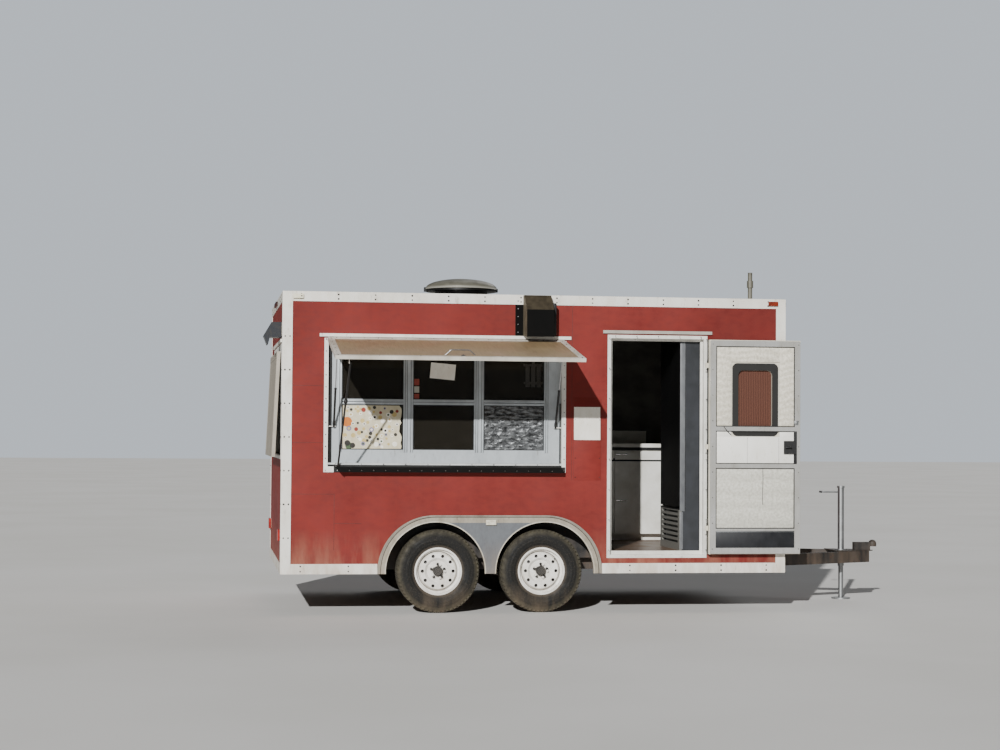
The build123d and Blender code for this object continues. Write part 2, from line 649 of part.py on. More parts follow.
# Corner posts and the trim round the foot of the walls
with BuildPart() as corner_posts:
    for x, inward in ((REAR, 1), (FRONT, -1)):
        for _, side in SIDES:
            z = (SKIRT_TOP if inward == 1 else front_low + SKIRT_HIGH, RAIL_LOW)
            outer = (x - inward * TRIM_PROUD, side * (SIDE + TRIM_PROUD))
            block((outer[0], x + inward * POST_WIDE), (side * SIDE, outer[1]), (SKIRT_TOP, RAIL_LOW))
            block((outer[0], x), (side * (SIDE - POST_WIDE), outer[1]), z)
save(corner_posts, "corner_posts")
arch_foot = (WHEEL_X - ARCH_SHIFT - ARCH_R, WHEEL_X + AXLE_SPACING + ARCH_SHIFT + ARCH_R)
with BuildPart() as base_trim:
    skirt_z = (SKIRT_LOW, SKIRT_TOP)
    for _, side in SIDES:
        y = both(side, SIDE, SIDE + TRIM_PROUD)
        block((REAR - TRIM_PROUD, arch_foot[0]), y, skirt_z)
        block((arch_foot[1], FRONT + TRIM_PROUD), y, skirt_z)
    block((REAR - TRIM_PROUD, REAR), (-SIDE, SIDE), skirt_z)
    block((FRONT, FRONT + TRIM_PROUD), (-SIDE + POST_WIDE, SIDE - POST_WIDE), (front_low, front_low + SKIRT_HIGH))
    for _, side in SIDES:
        block((FRONT, FRONT + TRIM_PROUD), both(side, SIDE - POST_WIDE, SIDE), (SKIRT_LOW, front_low + SKIRT_HIGH))
save(base_trim, "base_trim")

# Wheel boxes: round-topped tubs let into the floor, open to the side
with BuildPart() as wheel_boxes:
    for _, side in SIDES:
        with BuildSketch(upright(side * (BOX_INNER_Y - BOX_WALL))):
            add(arch_outline(BOX_R + BOX_WALL, ARCH_SHIFT))
        extrude(amount=-side * (INNER_Y - BOX_INNER_Y + BOX_WALL))
        with BuildSketch(upright(side * BOX_INNER_Y)):
            add(arch_outline(BOX_R, ARCH_SHIFT))
        extrude(amount=-side * (INNER_Y - BOX_INNER_Y), mode=Mode.SUBTRACT)
    block(box_x, (-SIDE, SIDE), (ARCH_Z - 2 * BOX_R, BOX_LOW), mode=Mode.SUBTRACT)
save(wheel_boxes, "wheel_boxes")

# Arch trims: a plate over both wheels with a web between them, raised edges and a turned-in lip
with BuildPart() as arch_trims:
    for _, side in SIDES:
        with BuildSketch(upright(side * SIDE)):
            add(arch_outline(ARCH_R, ARCH_SHIFT))
            add(opening_pair(ARCH_OPENING_R), mode=Mode.SUBTRACT)
        extrude(amount=-side * ARCH_TRIM_THICK)
        with BuildSketch(upright(side * SIDE)):
            add(arch_outline(ARCH_R, ARCH_SHIFT))
            add(arch_outline(ARCH_R - ARCH_BEAD, ARCH_SHIFT), mode=Mode.SUBTRACT)
        extrude(amount=-side * (ARCH_TRIM_THICK + ARCH_BEAD_PROUD))
        with BuildSketch(upright(side * (SIDE - ARCH_LIP_DEEP))):
            add(opening_pair(ARCH_OPENING_R + ARCH_LIP_THICK))
            add(opening_pair(ARCH_OPENING_R), mode=Mode.SUBTRACT)
        extrude(amount=-side * ARCH_LIP_DEEP)
    block(arch_foot, (-2 * SIDE, 2 * SIDE), (ARCH_Z - 2 * ARCH_R, SKIRT_LOW), mode=Mode.SUBTRACT)
save(arch_trims, "arch_trims")

# Both hatches' frames: a flange and a sleeve through the wall, and the struts' lower pins
hinge_y = CURB - FRAME_THICK - HATCH_GAP
hinge_z = WINDOW_Z[1] - HATCH_HINGE_DROP
strut_y = hinge_y + STRUT_EYE_UNDER
strut_x = (WINDOW_X[0] + FRAME_SIDE + STRUT_INSET, WINDOW_X[1] - FRAME_SIDE - STRUT_INSET)
STRUTS = (("rear", strut_x[0], 1), ("front", strut_x[1], -1))
clear_x = (sleeve_x[0] + SLEEVE, sleeve_x[1] - SLEEVE)
clear_z = (sleeve_z[0] + SLEEVE, sleeve_z[1] - SLEEVE)
rear_clear_y = (rear_sleeve_y[0] + SLEEVE, rear_sleeve_y[1] - SLEEVE)
rear_clear_z = (rear_sleeve_z[0] + SLEEVE, rear_sleeve_z[1] - SLEEVE)
rear_hinge_x = REAR - FRAME_THICK - HATCH_GAP
rear_hinge_z = REAR_WINDOW_Z[1] - REAR_HINGE_DROP
rear_hatch_y = (REAR_WINDOW_Y[0] + REAR_HATCH_INSET, REAR_WINDOW_Y[1] - REAR_HATCH_INSET)
HATCH_HINGES = [HATCH_X[0] + (HATCH_X[1] - HATCH_X[0]) * share for share in HINGE_SHARES]
REAR_HINGES = [rear_hatch_y[0] + (rear_hatch_y[1] - rear_hatch_y[0]) * share for share in HINGE_SHARES]


def hatch_axis_point(x):
    """A point on the serving hatch's hinge line."""
    return x, hinge_y, hinge_z


def rear_axis_point(y):
    """A point on the rear hatch's hinge line."""
    return rear_hinge_x, y, rear_hinge_z


with BuildPart() as hatch_frames:
    with BuildSketch(upright(CURB)):
        box_outline(WINDOW_X, WINDOW_Z)
        box_outline(clear_x, clear_z, mode=Mode.SUBTRACT)
    extrude(amount=FRAME_THICK)
    with BuildSketch(upright(-INNER_Y)):
        box_outline(sleeve_x, sleeve_z)
        box_outline(clear_x, clear_z, mode=Mode.SUBTRACT)
    extrude(amount=WALL)
    for _, x, outward in STRUTS:
        jamb = x - outward * STRUT_INSET
        bar((jamb, strut_y, STRUT_BASE_Z), (x + outward * STRUT_EYE_WIDE, strut_y, STRUT_BASE_Z), STRUT_PIN_R)
    knuckles(hatch_axis_point, HATCH_HINGES, FIXED_SPANS, HATCH_KNUCKLE_R)
    knuckles(rear_axis_point, REAR_HINGES, FIXED_SPANS, HATCH_KNUCKLE_R)
    for low, high in FIXED_SPANS:
        for x in HATCH_HINGES:
            plate_z = (hinge_z - LEAF_PLATE / 2, hinge_z + LEAF_PLATE / 2)
            block((x + low, x + high), (hinge_y, CURB - FRAME_THICK), plate_z)
        for y in REAR_HINGES:
            plate_z = (rear_hinge_z - LEAF_PLATE / 2, rear_hinge_z + LEAF_PLATE / 2)
            block((rear_hinge_x, REAR - FRAME_THICK), (y + low, y + high), plate_z)
    with BuildSketch(crosswise(REAR - FRAME_THICK)):
        box_outline(REAR_WINDOW_Y, REAR_WINDOW_Z)
        box_outline(rear_clear_y, rear_clear_z, mode=Mode.SUBTRACT)
    extrude(amount=FRAME_THICK)
    with BuildSketch(crosswise(REAR)):
        box_outline(rear_sleeve_y, rear_sleeve_z)
        box_outline(rear_clear_y, rear_clear_z, mode=Mode.SUBTRACT)
    extrude(amount=WALL)
save(hatch_frames, "hatch_frames")

# Shelf: a folded sheet through the window's foot, with a bracket for the prop rod
unit_front = CURB + UNIT_SETBACK
shelf_y = (CURB - SHELF_REACH, unit_front)
shelf_z = (clear_z[0], clear_z[0] + SHELF_THICK)
prop_foot = (PROP_FOOT_X, shelf_y[0] - PROP_FOOT_OUT, (shelf_z[0] + shelf_z[1]) / 2)
with BuildPart() as serving_shelf:
    block(clear_x, (CURB, shelf_y[1]), shelf_z)
    block(SHELF_X, (shelf_y[0], CURB), shelf_z)
    lug_x = PROP_FOOT_X - PROP_R - LUG_GAP
    block((lug_x - LUG_THICK, lug_x), (shelf_y[0] - PROP_FOOT_OUT - PROP_R, shelf_y[0]), shelf_z)
save(serving_shelf, "serving_shelf")

# Window unit: stiles, mullions, a meeting rail and six panes
bay_x = [clear_x[0] + STILE_WIDE + i * (BAY_WIDE + MULLION_WIDE) for i in range(BAYS)]
PANES = ((PANE_LOW, MEETING_RAIL[0]), (MEETING_RAIL[1], PANE_TOP))
with BuildPart() as window_unit:
    with BuildSketch(upright(unit_front + UNIT_THICK)):
        box_outline(clear_x, (shelf_z[0], clear_z[1]))
        for x in bay_x:
            for pane in PANES:
                box_outline((x, x + BAY_WIDE), pane, mode=Mode.SUBTRACT)
    extrude(amount=UNIT_THICK)
save(window_unit, "window_unit")
with BuildPart() as window_glass:
    with BuildSketch(upright(unit_front + UNIT_THICK / 2)):
        for x in bay_x:
            for pane in PANES:
                box_outline((x, x + BAY_WIDE), pane)
    extrude(amount=GLASS)
save(window_glass, "window_glass")

# Serving hatch, made closed and turned up about its hinge
hatch_axis = Axis((0, hinge_y, hinge_z), (1, 0, 0))
eye_z = hinge_z - STRUT_EYE_ALONG
hatch_z = (hinge_z - HATCH_LONG, hinge_z)
hatch_face = hinge_y - HATCH_THICK
with BuildPart() as serving_hatch:
    block(HATCH_X, (hatch_face, hinge_y), hatch_z)
    with BuildSketch(upright(hatch_face)):
        box_outline(HATCH_X, hatch_z)
        offset(amount=-HATCH_EDGING, kind=Kind.INTERSECTION, mode=Mode.SUBTRACT)
    extrude(amount=HATCH_EDGING_PROUD)
    knuckles(hatch_axis_point, HATCH_HINGES, ROOM_SPANS, HATCH_KNUCKLE_R + HATCH_KNUCKLE_ROOM, Mode.SUBTRACT)
    knuckles(hatch_axis_point, HATCH_HINGES, MOVING_SPANS, HATCH_KNUCKLE_R)
    for _, x, outward in STRUTS:
        lug = x + outward * (STRUT_EYE_WIDE / 2 + LUG_GAP)
        reach = hinge_y + STRUT_EYE_UNDER + STRUT_EYE_R
        block((lug, lug + outward * LUG_THICK), (hinge_y, reach), (eye_z - LUG_HALF, eye_z + LUG_HALF))
    catch = PROP_TOP_X - PROP_R - LUG_GAP
    catch_z = hinge_z - PROP_ALONG
    block((catch - LUG_THICK, catch), (hinge_y, hinge_y + PROP_UNDER), (catch_z - CATCH_HALF, catch_z + CATCH_HALF))
save(serving_hatch, "serving_hatch", turn=(hatch_axis, -HATCH_OPEN))

# The hatch's handle: a bent rod on its outer face
handle_x = (HATCH_X[0] + HATCH_X[1]) / 2
handle_z = hatch_z[0] + HANDLE_INSET
with BuildPart() as hatch_handle:
    with BuildLine() as handle_path:
        FilletPolyline(
            (handle_x - HANDLE_FOOT, hatch_face, handle_z),
            (handle_x - HANDLE_TOP, hatch_face - HANDLE_HIGH, handle_z),
            (handle_x + HANDLE_TOP, hatch_face - HANDLE_HIGH, handle_z),
            (handle_x + HANDLE_FOOT, hatch_face, handle_z),
            radius=HANDLE_BEND,
        )
    with BuildSketch(Plane(origin=handle_path.line @ 0, z_dir=handle_path.line % 0)):
        Circle(HANDLE_R)
    sweep()
    over_face = (hatch_face, hatch_face + 2 * HANDLE_R)
    handle_span = (handle_x - 2 * HANDLE_FOOT, handle_x + 2 * HANDLE_FOOT)
    block(handle_span, over_face, (handle_z - 2 * HANDLE_R, handle_z + 2 * HANDLE_R), mode=Mode.SUBTRACT)
save(hatch_handle, "hatch_handle", turn=(hatch_axis, -HATCH_OPEN))


def on_open_hatch(along, under):
    """Y and Z of a point given along the open hatch and under its inner face."""
    turn = radians(HATCH_OPEN)
    y = hinge_y - along * sin(turn) + under * cos(turn)
    z = hinge_z - along * cos(turn) - under * sin(turn)
    return y, z


# Struts: a tube on the window frame's pin and a rod with an eye beside the hatch's lug
eye_y, eye_z = on_open_hatch(STRUT_EYE_ALONG, STRUT_EYE_UNDER)
strut_long = hypot(eye_y - strut_y, eye_z - STRUT_BASE_Z)
strut_way = ((eye_y - strut_y) / strut_long, (eye_z - STRUT_BASE_Z) / strut_long)
for name, x, outward in STRUTS:
    def up_strut(distance):
        """A point on the strut's line, measured from its lower pin."""
        return x, strut_y + distance * strut_way[0], STRUT_BASE_Z + distance * strut_way[1]

    eye_half = STRUT_EYE_WIDE / 2
    with BuildPart() as strut_tube:
        bar(up_strut(0), up_strut(STRUT_TUBE_LONG), STRUT_TUBE_R)
        bar((x - eye_half, strut_y, STRUT_BASE_Z), (x + eye_half, strut_y, STRUT_BASE_Z), STRUT_EYE_R)
        pin_ends = [(x + outer, strut_y, STRUT_BASE_Z) for outer in (-WALL, WALL)]
        bar(*pin_ends, STRUT_PIN_R + STRUT_PLAY, mode=Mode.SUBTRACT)
        bar(up_strut(STRUT_END), up_strut(STRUT_TUBE_LONG), STRUT_ROD_R + STRUT_PLAY, mode=Mode.SUBTRACT)
    save(strut_tube, f"strut_tube_{name}")
    with BuildPart() as strut_rod:
        bar(up_strut(STRUT_TUBE_LONG - STRUT_OVERLAP), up_strut(strut_long), STRUT_ROD_R)
        bar((x - eye_half, eye_y, eye_z), (x + eye_half, eye_y, eye_z), STRUT_EYE_R)
    save(strut_rod, f"strut_rod_{name}")

# Prop rod: from its lug on the shelf's front to the catch near the hatch's free edge
prop_top = (PROP_TOP_X, *on_open_hatch(PROP_ALONG, PROP_UNDER - PROP_R))
with BuildPart() as prop_rod:
    bar(prop_foot, prop_top, PROP_R)
    eye_ends = [(prop_foot[0] + outer, *prop_foot[1:]) for outer in (-PROP_R, PROP_R)]
    bar(*eye_ends, PROP_R + PROP_LIP)
save(prop_rod, "prop_rod")

# Side door: a flanged frame with a stop, and a leaf with its screen door laid back against the wall
door_axis_x = pocket_x[1] + DOOR_FRAME_WIDE / 2
door_axis_y = CURB - LEAF_PROUD - KNUCKLE_OUT
leaf_x = (pocket_x[0] + LEAF_GAP, pocket_x[1] - LEAF_GAP)
leaf_z = (pocket_z[0] + LEAF_GAP, pocket_z[1] - LEAF_GAP)
leaf_y = (CURB - LEAF_PROUD, CURB - LEAF_PROUD + LEAF_THICK)
screen_y = (leaf_y[1], leaf_y[1] + SCREEN_THICK)
stop_y = screen_y[1] + LEAF_GAP
DOOR_HINGES = [leaf_z[0] + (leaf_z[1] - leaf_z[0]) * share for share in HINGE_SHARES]


def door_axis_point(z):
    """A point on the side door's hinge line."""
    return door_axis_x, door_axis_y, z


with BuildPart() as door_frame:
    with BuildSketch(upright(CURB)):
        box_outline(DOOR_X, DOOR_Z)
        box_outline(pocket_x, pocket_z, mode=Mode.SUBTRACT)
    extrude(amount=FRAME_THICK)
    with BuildSketch(upright(-INNER_Y)):
        box_outline(door_sleeve_x, door_sleeve_z)
        box_outline(pocket_x, pocket_z, mode=Mode.SUBTRACT)
    extrude(amount=WALL)
    stop_x = (pocket_x[0] + DOOR_STOP, pocket_x[1] - DOOR_STOP)
    with BuildSketch(upright(-INNER_Y)):
        box_outline(pocket_x, pocket_z)
        box_outline(stop_x, (FLOOR_TOP, pocket_z[1] - DOOR_STOP), mode=Mode.SUBTRACT)
    extrude(amount=-stop_y - INNER_Y)
    knuckles(door_axis_point, DOOR_HINGES, FIXED_SPANS, KNUCKLE_R)
    for low, high in FIXED_SPANS:
        for z in DOOR_HINGES:
            plate_x = (door_axis_x - LEAF_PLATE / 2, door_axis_x + LEAF_PLATE / 2)
            block(plate_x, (door_axis_y, CURB - FRAME_THICK), (z + low, z + high))
save(door_frame, "door_frame")
leaf_middle = (leaf_x[0] + leaf_x[1]) / 2
door_turn = (Axis((door_axis_x, door_axis_y, 0), (0, 0, 1)), 180)
with BuildPart() as side_door:
    block(leaf_x, leaf_y, leaf_z)
    for y in (leaf_y[0], leaf_y[1] + LEAF_WINDOW_PROUD):
        with BuildSketch(upright(y)):
            with Locations((leaf_middle, LEAF_WINDOW_Z)):
                RectangleRounded(*LEAF_WINDOW, LEAF_WINDOW_CORNER)
        extrude(amount=LEAF_WINDOW_PROUD)
    with BuildSketch(upright(leaf_y[1] + LEAF_WINDOW_PROUD)):
        with Locations((leaf_middle, LEAF_WINDOW_Z)):
            RectangleRounded(*LEAF_GLASS, LEAF_GLASS_CORNER)
    extrude(amount=LEAF_THICK + 2 * LEAF_WINDOW_PROUD, mode=Mode.SUBTRACT)
    knuckles(door_axis_point, DOOR_HINGES, MOVING_SPANS, KNUCKLE_R)
    for z in DOOR_HINGES:
        plate_y = (leaf_y[0] - LEAF_PLATE, leaf_y[0])
        block((leaf_x[1] - LEAF_PLATE_LONG, door_axis_x), plate_y, (z - KNUCKLE_HALF, z + KNUCKLE_HALF))
save(side_door, "side_door", turn=door_turn)
with BuildPart() as door_glass:
    with BuildSketch(upright(leaf_y[1] - LEAF_THICK / 2)):
        with Locations((leaf_middle, LEAF_WINDOW_Z)):
            RectangleRounded(*LEAF_GLASS, LEAF_GLASS_CORNER)
    extrude(amount=GLASS)
save(door_glass, "door_glass", turn=door_turn)
latch_x = (leaf_x[0] + LATCH_IN, leaf_x[0] + LATCH_IN + LATCH_WIDE)
with BuildPart() as door_latch:
    block(latch_x, (screen_y[0], screen_y[1] + LATCH_PROUD), LATCH_Z)
    block(latch_x, (leaf_y[0] - LATCH_PROUD, leaf_y[0]), LATCH_Z)
save(door_latch, "door_latch", turn=door_turn)

# Screen door, latched to the leaf's inner face: a frame, three bars, a slider panel and a foot panel
screen_x = (leaf_x[0] + SCREEN_INSET, leaf_x[1] - SCREEN_INSET)
screen_z = (leaf_z[0] + SCREEN_INSET, leaf_z[1] - SCREEN_INSET)
field_x = (screen_x[0] + SCREEN_MEMBER, screen_x[1] - SCREEN_MEMBER)
field_feet = [screen_z[0] + SCREEN_MEMBER, *[bar_top for _, bar_top in SCREEN_BARS]]
field_tops = [*[bar_foot for bar_foot, _ in SCREEN_BARS], screen_z[1] - SCREEN_MEMBER]
fields = list(zip(field_feet, field_tops))
slider_top = LEAF_WINDOW_Z - LEAF_WINDOW[1] / 2 - SCREEN_CLEAR
with BuildPart() as screen_door:
    with BuildSketch(upright(screen_y[1])):
        with Locations((leaf_middle, (screen_z[0] + screen_z[1]) / 2)):
            RectangleRounded(screen_x[1] - screen_x[0], screen_z[1] - screen_z[0], SCREEN_CORNER)
        for field_z in fields:
            box_outline(field_x, field_z, mode=Mode.SUBTRACT)
    extrude(amount=SCREEN_THICK)
    block(field_x, (screen_y[0], screen_y[0] + KICK_THICK), fields[0])
    block(field_x, (screen_y[0], screen_y[0] + SLIDER_THICK), (fields[2][0], slider_top))
    with BuildSketch(upright(screen_y[0] + LEAF_WINDOW_PROUD + 1)):
        with Locations((leaf_middle, LEAF_WINDOW_Z)):
            ring_room = [length + SCREEN_CLEAR for length in LEAF_WINDOW]
            RectangleRounded(*ring_room, LEAF_WINDOW_CORNER + SCREEN_CLEAR / 2)
    extrude(amount=LEAF_WINDOW_PROUD + 1, mode=Mode.SUBTRACT)
    latch_room_x = (latch_x[0] - SCREEN_CLEAR, latch_x[1] + SCREEN_CLEAR)
    block(latch_room_x, screen_y, (LATCH_Z[0] - SCREEN_CLEAR, LATCH_Z[1] + SCREEN_CLEAR), mode=Mode.SUBTRACT)
save(screen_door, "screen_door", turn=door_turn)

# Rain rails over the window, the door and the rear hatch
with BuildPart() as rain_rails:
    for x, top in ((WINDOW_X, WINDOW_Z[1]), (DOOR_X, DOOR_Z[1])):
        rail_x = (x[0] - RAIL_SIDE, x[1] + RAIL_SIDE)
        block(rail_x, (CURB - DRIP_RAIL_THICK, CURB), (top + RAIL_ABOVE, top + RAIL_ABOVE + DRIP_RAIL_HIGH))
    rear_rail_z = REAR_WINDOW_Z[1] + RAIL_ABOVE
    rear_rail_y = (REAR_WINDOW_Y[0] - RAIL_SIDE / 2, REAR_WINDOW_Y[1] + RAIL_SIDE)
    block((REAR - DRIP_RAIL_THICK, REAR), rear_rail_y, (rear_rail_z, rear_rail_z + DRIP_RAIL_HIGH))
save(rain_rails, "rain_rails")

# Rear hatch, ajar
with BuildPart() as rear_hatch:
    rear_hatch_z = (rear_hinge_z - REAR_HATCH_LONG, rear_hinge_z)
    block((rear_hinge_x - HATCH_THICK, rear_hinge_x), rear_hatch_y, rear_hatch_z)
    with BuildSketch(crosswise(rear_hinge_x - HATCH_THICK)):
        box_outline(rear_hatch_y, rear_hatch_z)
        offset(amount=-HATCH_EDGING, kind=Kind.INTERSECTION, mode=Mode.SUBTRACT)
    extrude(amount=-HATCH_EDGING_PROUD)
    knuckles(rear_axis_point, REAR_HINGES, ROOM_SPANS, HATCH_KNUCKLE_R + HATCH_KNUCKLE_ROOM, Mode.SUBTRACT)
    knuckles(rear_axis_point, REAR_HINGES, MOVING_SPANS, HATCH_KNUCKLE_R)
save(rear_hatch, "rear_hatch", turn=(Axis((rear_hinge_x, 0, rear_hinge_z), (0, 1, 0)), REAR_HATCH_AJAR))

# On the roof: a fan with a square curb, a round throat and a spun cap, and a thin flue
with BuildPart() as roof_vents:
    block(vent_x, (-VENT_BASE / 2, VENT_BASE / 2), (roof_top, roof_top + VENT_CURB_HIGH))
    bar((VENT_X, 0, roof_top), (VENT_X, 0, VENT_BRIM_Z + VENT_BRIM_THICK / 2), VENT_THROAT_R)
    with BuildSketch(upright(0)):
        with BuildLine():
            rise = VENT_TOP_Z - VENT_BRIM_Z - VENT_BRIM_THICK
            dome_r = (VENT_BRIM_R**2 + rise**2) / (2 * rise)
            Polyline(
                (VENT_X, VENT_TOP_Z), (VENT_X, VENT_BRIM_Z), (VENT_X + VENT_BRIM_R, VENT_BRIM_Z),
                (VENT_X + VENT_BRIM_R, VENT_BRIM_Z + VENT_BRIM_THICK),
            )
            RadiusArc((VENT_X + VENT_BRIM_R, VENT_BRIM_Z + VENT_BRIM_THICK), (VENT_X, VENT_TOP_Z), -dome_r)
        make_face()
    revolve(axis=Axis((VENT_X, 0, 0), (0, 0, 1)))
    bar((FLUE_X, FLUE_Y, ROOF_LOW), (FLUE_X, FLUE_Y, FLUE_TOP), FLUE_R)
    collar_ends = [(FLUE_X, FLUE_Y, FLUE_TOP - drop) for drop in FLUE_COLLAR]
    bar(*collar_ends, FLUE_COLLAR_R)
save(roof_vents, "roof_vents")

# Hood high on the curb side, open below
hood_back = CURB - TRIM_PROUD
with BuildPart() as side_hood:
    with BuildSketch(Plane(origin=(HOOD_X[0], 0, 0), x_dir=(0, 1, 0), z_dir=(1, 0, 0))):
        with BuildLine():
            Polyline(
                (hood_back, HOOD_Z[0] + HOOD_BACK_RISE), (hood_back - HOOD_REACH, HOOD_Z[0]),
                (hood_back - HOOD_REACH, HOOD_Z[1] - HOOD_BEVEL[1]),
                (hood_back - HOOD_REACH + HOOD_BEVEL[0], HOOD_Z[1]), (hood_back, HOOD_Z[1]), close=True,
            )
        make_face()
    extrude(amount=HOOD_X[1] - HOOD_X[0])
    open_face = side_hood.faces().sort_by(Axis.Z)[0]
    offset(amount=-HOOD_WALL, openings=open_face)
    plate_x = (HOOD_X[0] - HOOD_PLATE[0], HOOD_X[1] + HOOD_PLATE[1])
    block(plate_x, (hood_back, CURB), (HOOD_Z[0] + HOOD_BACK_RISE, RAIL_LOW))
save(side_hood, "side_hood")

# Marker, clearance and tail lamps; each row: face, place along it, height, width, height of lens
rail_middle = (RAIL_LOW + RAIL_TOP) / 2
LAMPS = [
    (face, along, z, wide, high)
    for face, places in (
        ("curb", ((REAR + 124, rail_middle, 83, 36), (FRONT - 108, rail_middle, 83, 36))),
        ("road", ((REAR + 124, rail_middle, 83, 36), (FRONT - 108, rail_middle, 83, 36))),
        ("rear", ((-150, rail_middle, 70, 36), (0, rail_middle, 70, 36), (150, rail_middle, 70, 36))),
        ("front", ((-SIDE + 90, rail_middle, 83, 36), (SIDE - 90, rail_middle, 83, 36))),
        ("tail", ((-SIDE + 170, GROUND + 640, 150, 90), (SIDE - 170, GROUND + 640, 150, 90))),
    )
    for along, z, wide, high in places
]
with BuildPart() as lamps:
    for face, along, z, wide, high in LAMPS:
        span = (along - wide / 2, along + wide / 2)
        rise = (z - high / 2, z + high / 2)
        proud = TRIM_PROUD + LAMP_THICK
        if face in ("curb", "road"):
            side = dict(SIDES)[face]
            block(span, both(side, SIDE + TRIM_PROUD, SIDE + proud), rise)
        elif face == "front":
            block((FRONT + TRIM_PROUD, FRONT + proud), span, rise)
        elif face == "rear":
            block((REAR - proud, REAR - TRIM_PROUD), span, rise)
        else:
            block((REAR - proud, REAR), span, rise)
    for _, side in SIDES:
        web_x = WHEEL_X + AXLE_SPACING / 2
        web_y = both(side, SIDE + ARCH_TRIM_THICK, SIDE + ARCH_TRIM_THICK + LAMP_THICK)
        block((web_x - WEB_LAMP_HALF, web_x + WEB_LAMP_HALF), web_y, WEB_LAMP_Z)
    with BuildSketch(upright(REAR_LAMP_Y[1])):
        with BuildLine():
            Polyline(
                (REAR, REAR_LAMP_Z[1]), (REAR - REAR_LAMP_REACH * 0.57, REAR_LAMP_Z[1]),
                (REAR - REAR_LAMP_REACH, REAR_LAMP_Z[1] - REAR_LAMP_FACE),
                (REAR - REAR_LAMP_REACH + 30, REAR_LAMP_Z[0] - REAR_LAMP_VISOR),
                (REAR - REAR_LAMP_REACH + 36, REAR_LAMP_Z[0] - REAR_LAMP_VISOR),
                (REAR - REAR_LAMP_REACH * 0.66, REAR_LAMP_Z[0]), (REAR, REAR_LAMP_Z[0]), close=True,
            )
        make_face()
    extrude(amount=REAR_LAMP_Y[1] - REAR_LAMP_Y[0])
save(lamps, "lamps")

# Inside: a tall fridge that looks to the rear, and a counter with two base units
with BuildPart() as fridge:
    block(FRIDGE_X, FRIDGE_Y, (FLOOR_TOP, FRIDGE_TOP))
    seam_z = FLOOR_TOP + GRILLE_SLATS * GRILLE_PITCH + GRILLE_FOOT
    block((FRIDGE_X[0], FRIDGE_X[0] + SEAM_DEEP), FRIDGE_Y, (seam_z, seam_z + SEAM_HIGH), mode=Mode.SUBTRACT)
    slot_y = (FRIDGE_Y[0] + GRILLE_FOOT, FRIDGE_Y[1] - GRILLE_FOOT)
    for i in range(GRILLE_SLATS):
        z = FLOOR_TOP + GRILLE_FOOT + i * GRILLE_PITCH
        block((FRIDGE_X[0], FRIDGE_X[0] + SEAM_DEEP), slot_y, (z, z + GRILLE_PITCH / 2), mode=Mode.SUBTRACT)
save(fridge, "fridge")
with BuildPart() as base_units:
    block(COUNTER_X, (COUNTER_Y, INNER_Y), (COUNTER_TOP - COUNTER_THICK, COUNTER_TOP))
    block(COUNTER_X, (INNER_Y - SPLASH_THICK, INNER_Y), (COUNTER_TOP, COUNTER_TOP + SPLASH_HIGH))
    front_y = (COUNTER_Y, COUNTER_Y + UNIT_FRONT)
    block(COUNTER_X, (front_y[1], INNER_Y), (FLOOR_TOP + KICK_HIGH, COUNTER_TOP - COUNTER_THICK))
    block(COUNTER_X, (front_y[1] + KICK_DEEP, INNER_Y), (FLOOR_TOP, FLOOR_TOP + KICK_HIGH))
    unit_wide = (COUNTER_X[1] - COUNTER_X[0]) / UNITS
    for i in range(UNITS):
        unit_x = COUNTER_X[0] + i * unit_wide
        front_x = (unit_x + FRONT_INSET, unit_x + unit_wide - FRONT_INSET)
        block(front_x, front_y, (FLOOR_TOP + KICK_HIGH, UNIT_TOP - DRAWER_HIGH - 2 * FRONT_INSET))
        block(front_x, front_y, (UNIT_TOP - DRAWER_HIGH, UNIT_TOP))
save(base_units, "base_units")
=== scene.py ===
"""Looks for a two-axle concession trailer: finishes, fittings, tread, screws and what shows inside.

The frame's axes are +X to the front, +Y to the road side and +Z up, with the curb side at -Y.
Shapes are drawn in millimetres, and piece() and grow() scale them to metres. Materials read metres.
"""
import json
import random
from math import cos, radians, sin, tau

import bmesh
import bpy
from mathutils import Matrix, Vector


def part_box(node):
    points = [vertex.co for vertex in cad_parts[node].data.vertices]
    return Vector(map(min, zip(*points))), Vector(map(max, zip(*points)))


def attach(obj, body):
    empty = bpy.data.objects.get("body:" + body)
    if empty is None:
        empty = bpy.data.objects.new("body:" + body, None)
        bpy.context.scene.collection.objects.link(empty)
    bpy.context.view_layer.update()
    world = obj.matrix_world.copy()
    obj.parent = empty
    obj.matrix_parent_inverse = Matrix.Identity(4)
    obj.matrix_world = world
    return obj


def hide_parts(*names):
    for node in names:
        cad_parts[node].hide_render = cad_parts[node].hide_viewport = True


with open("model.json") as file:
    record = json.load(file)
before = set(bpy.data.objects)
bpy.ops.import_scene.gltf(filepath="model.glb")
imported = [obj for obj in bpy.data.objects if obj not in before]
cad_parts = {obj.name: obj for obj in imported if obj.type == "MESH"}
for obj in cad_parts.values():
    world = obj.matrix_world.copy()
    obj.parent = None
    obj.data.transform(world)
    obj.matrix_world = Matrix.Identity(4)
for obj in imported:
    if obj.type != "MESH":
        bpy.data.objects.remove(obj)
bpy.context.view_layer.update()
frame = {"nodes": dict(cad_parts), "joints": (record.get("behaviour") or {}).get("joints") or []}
NODES = frame["nodes"]
MM = 0.001
LOW = {name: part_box(name)[0] / MM for name in NODES}
HIGH = {name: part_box(name)[1] / MM for name in NODES}
PINS = {joint["name"]: Vector(joint["pos_m"]) / MM for joint in frame["joints"] if joint.get("pos_m")}
CURB_WAY = Vector((0, -1, 0))
ROAD_WAY = Vector((0, 1, 0))

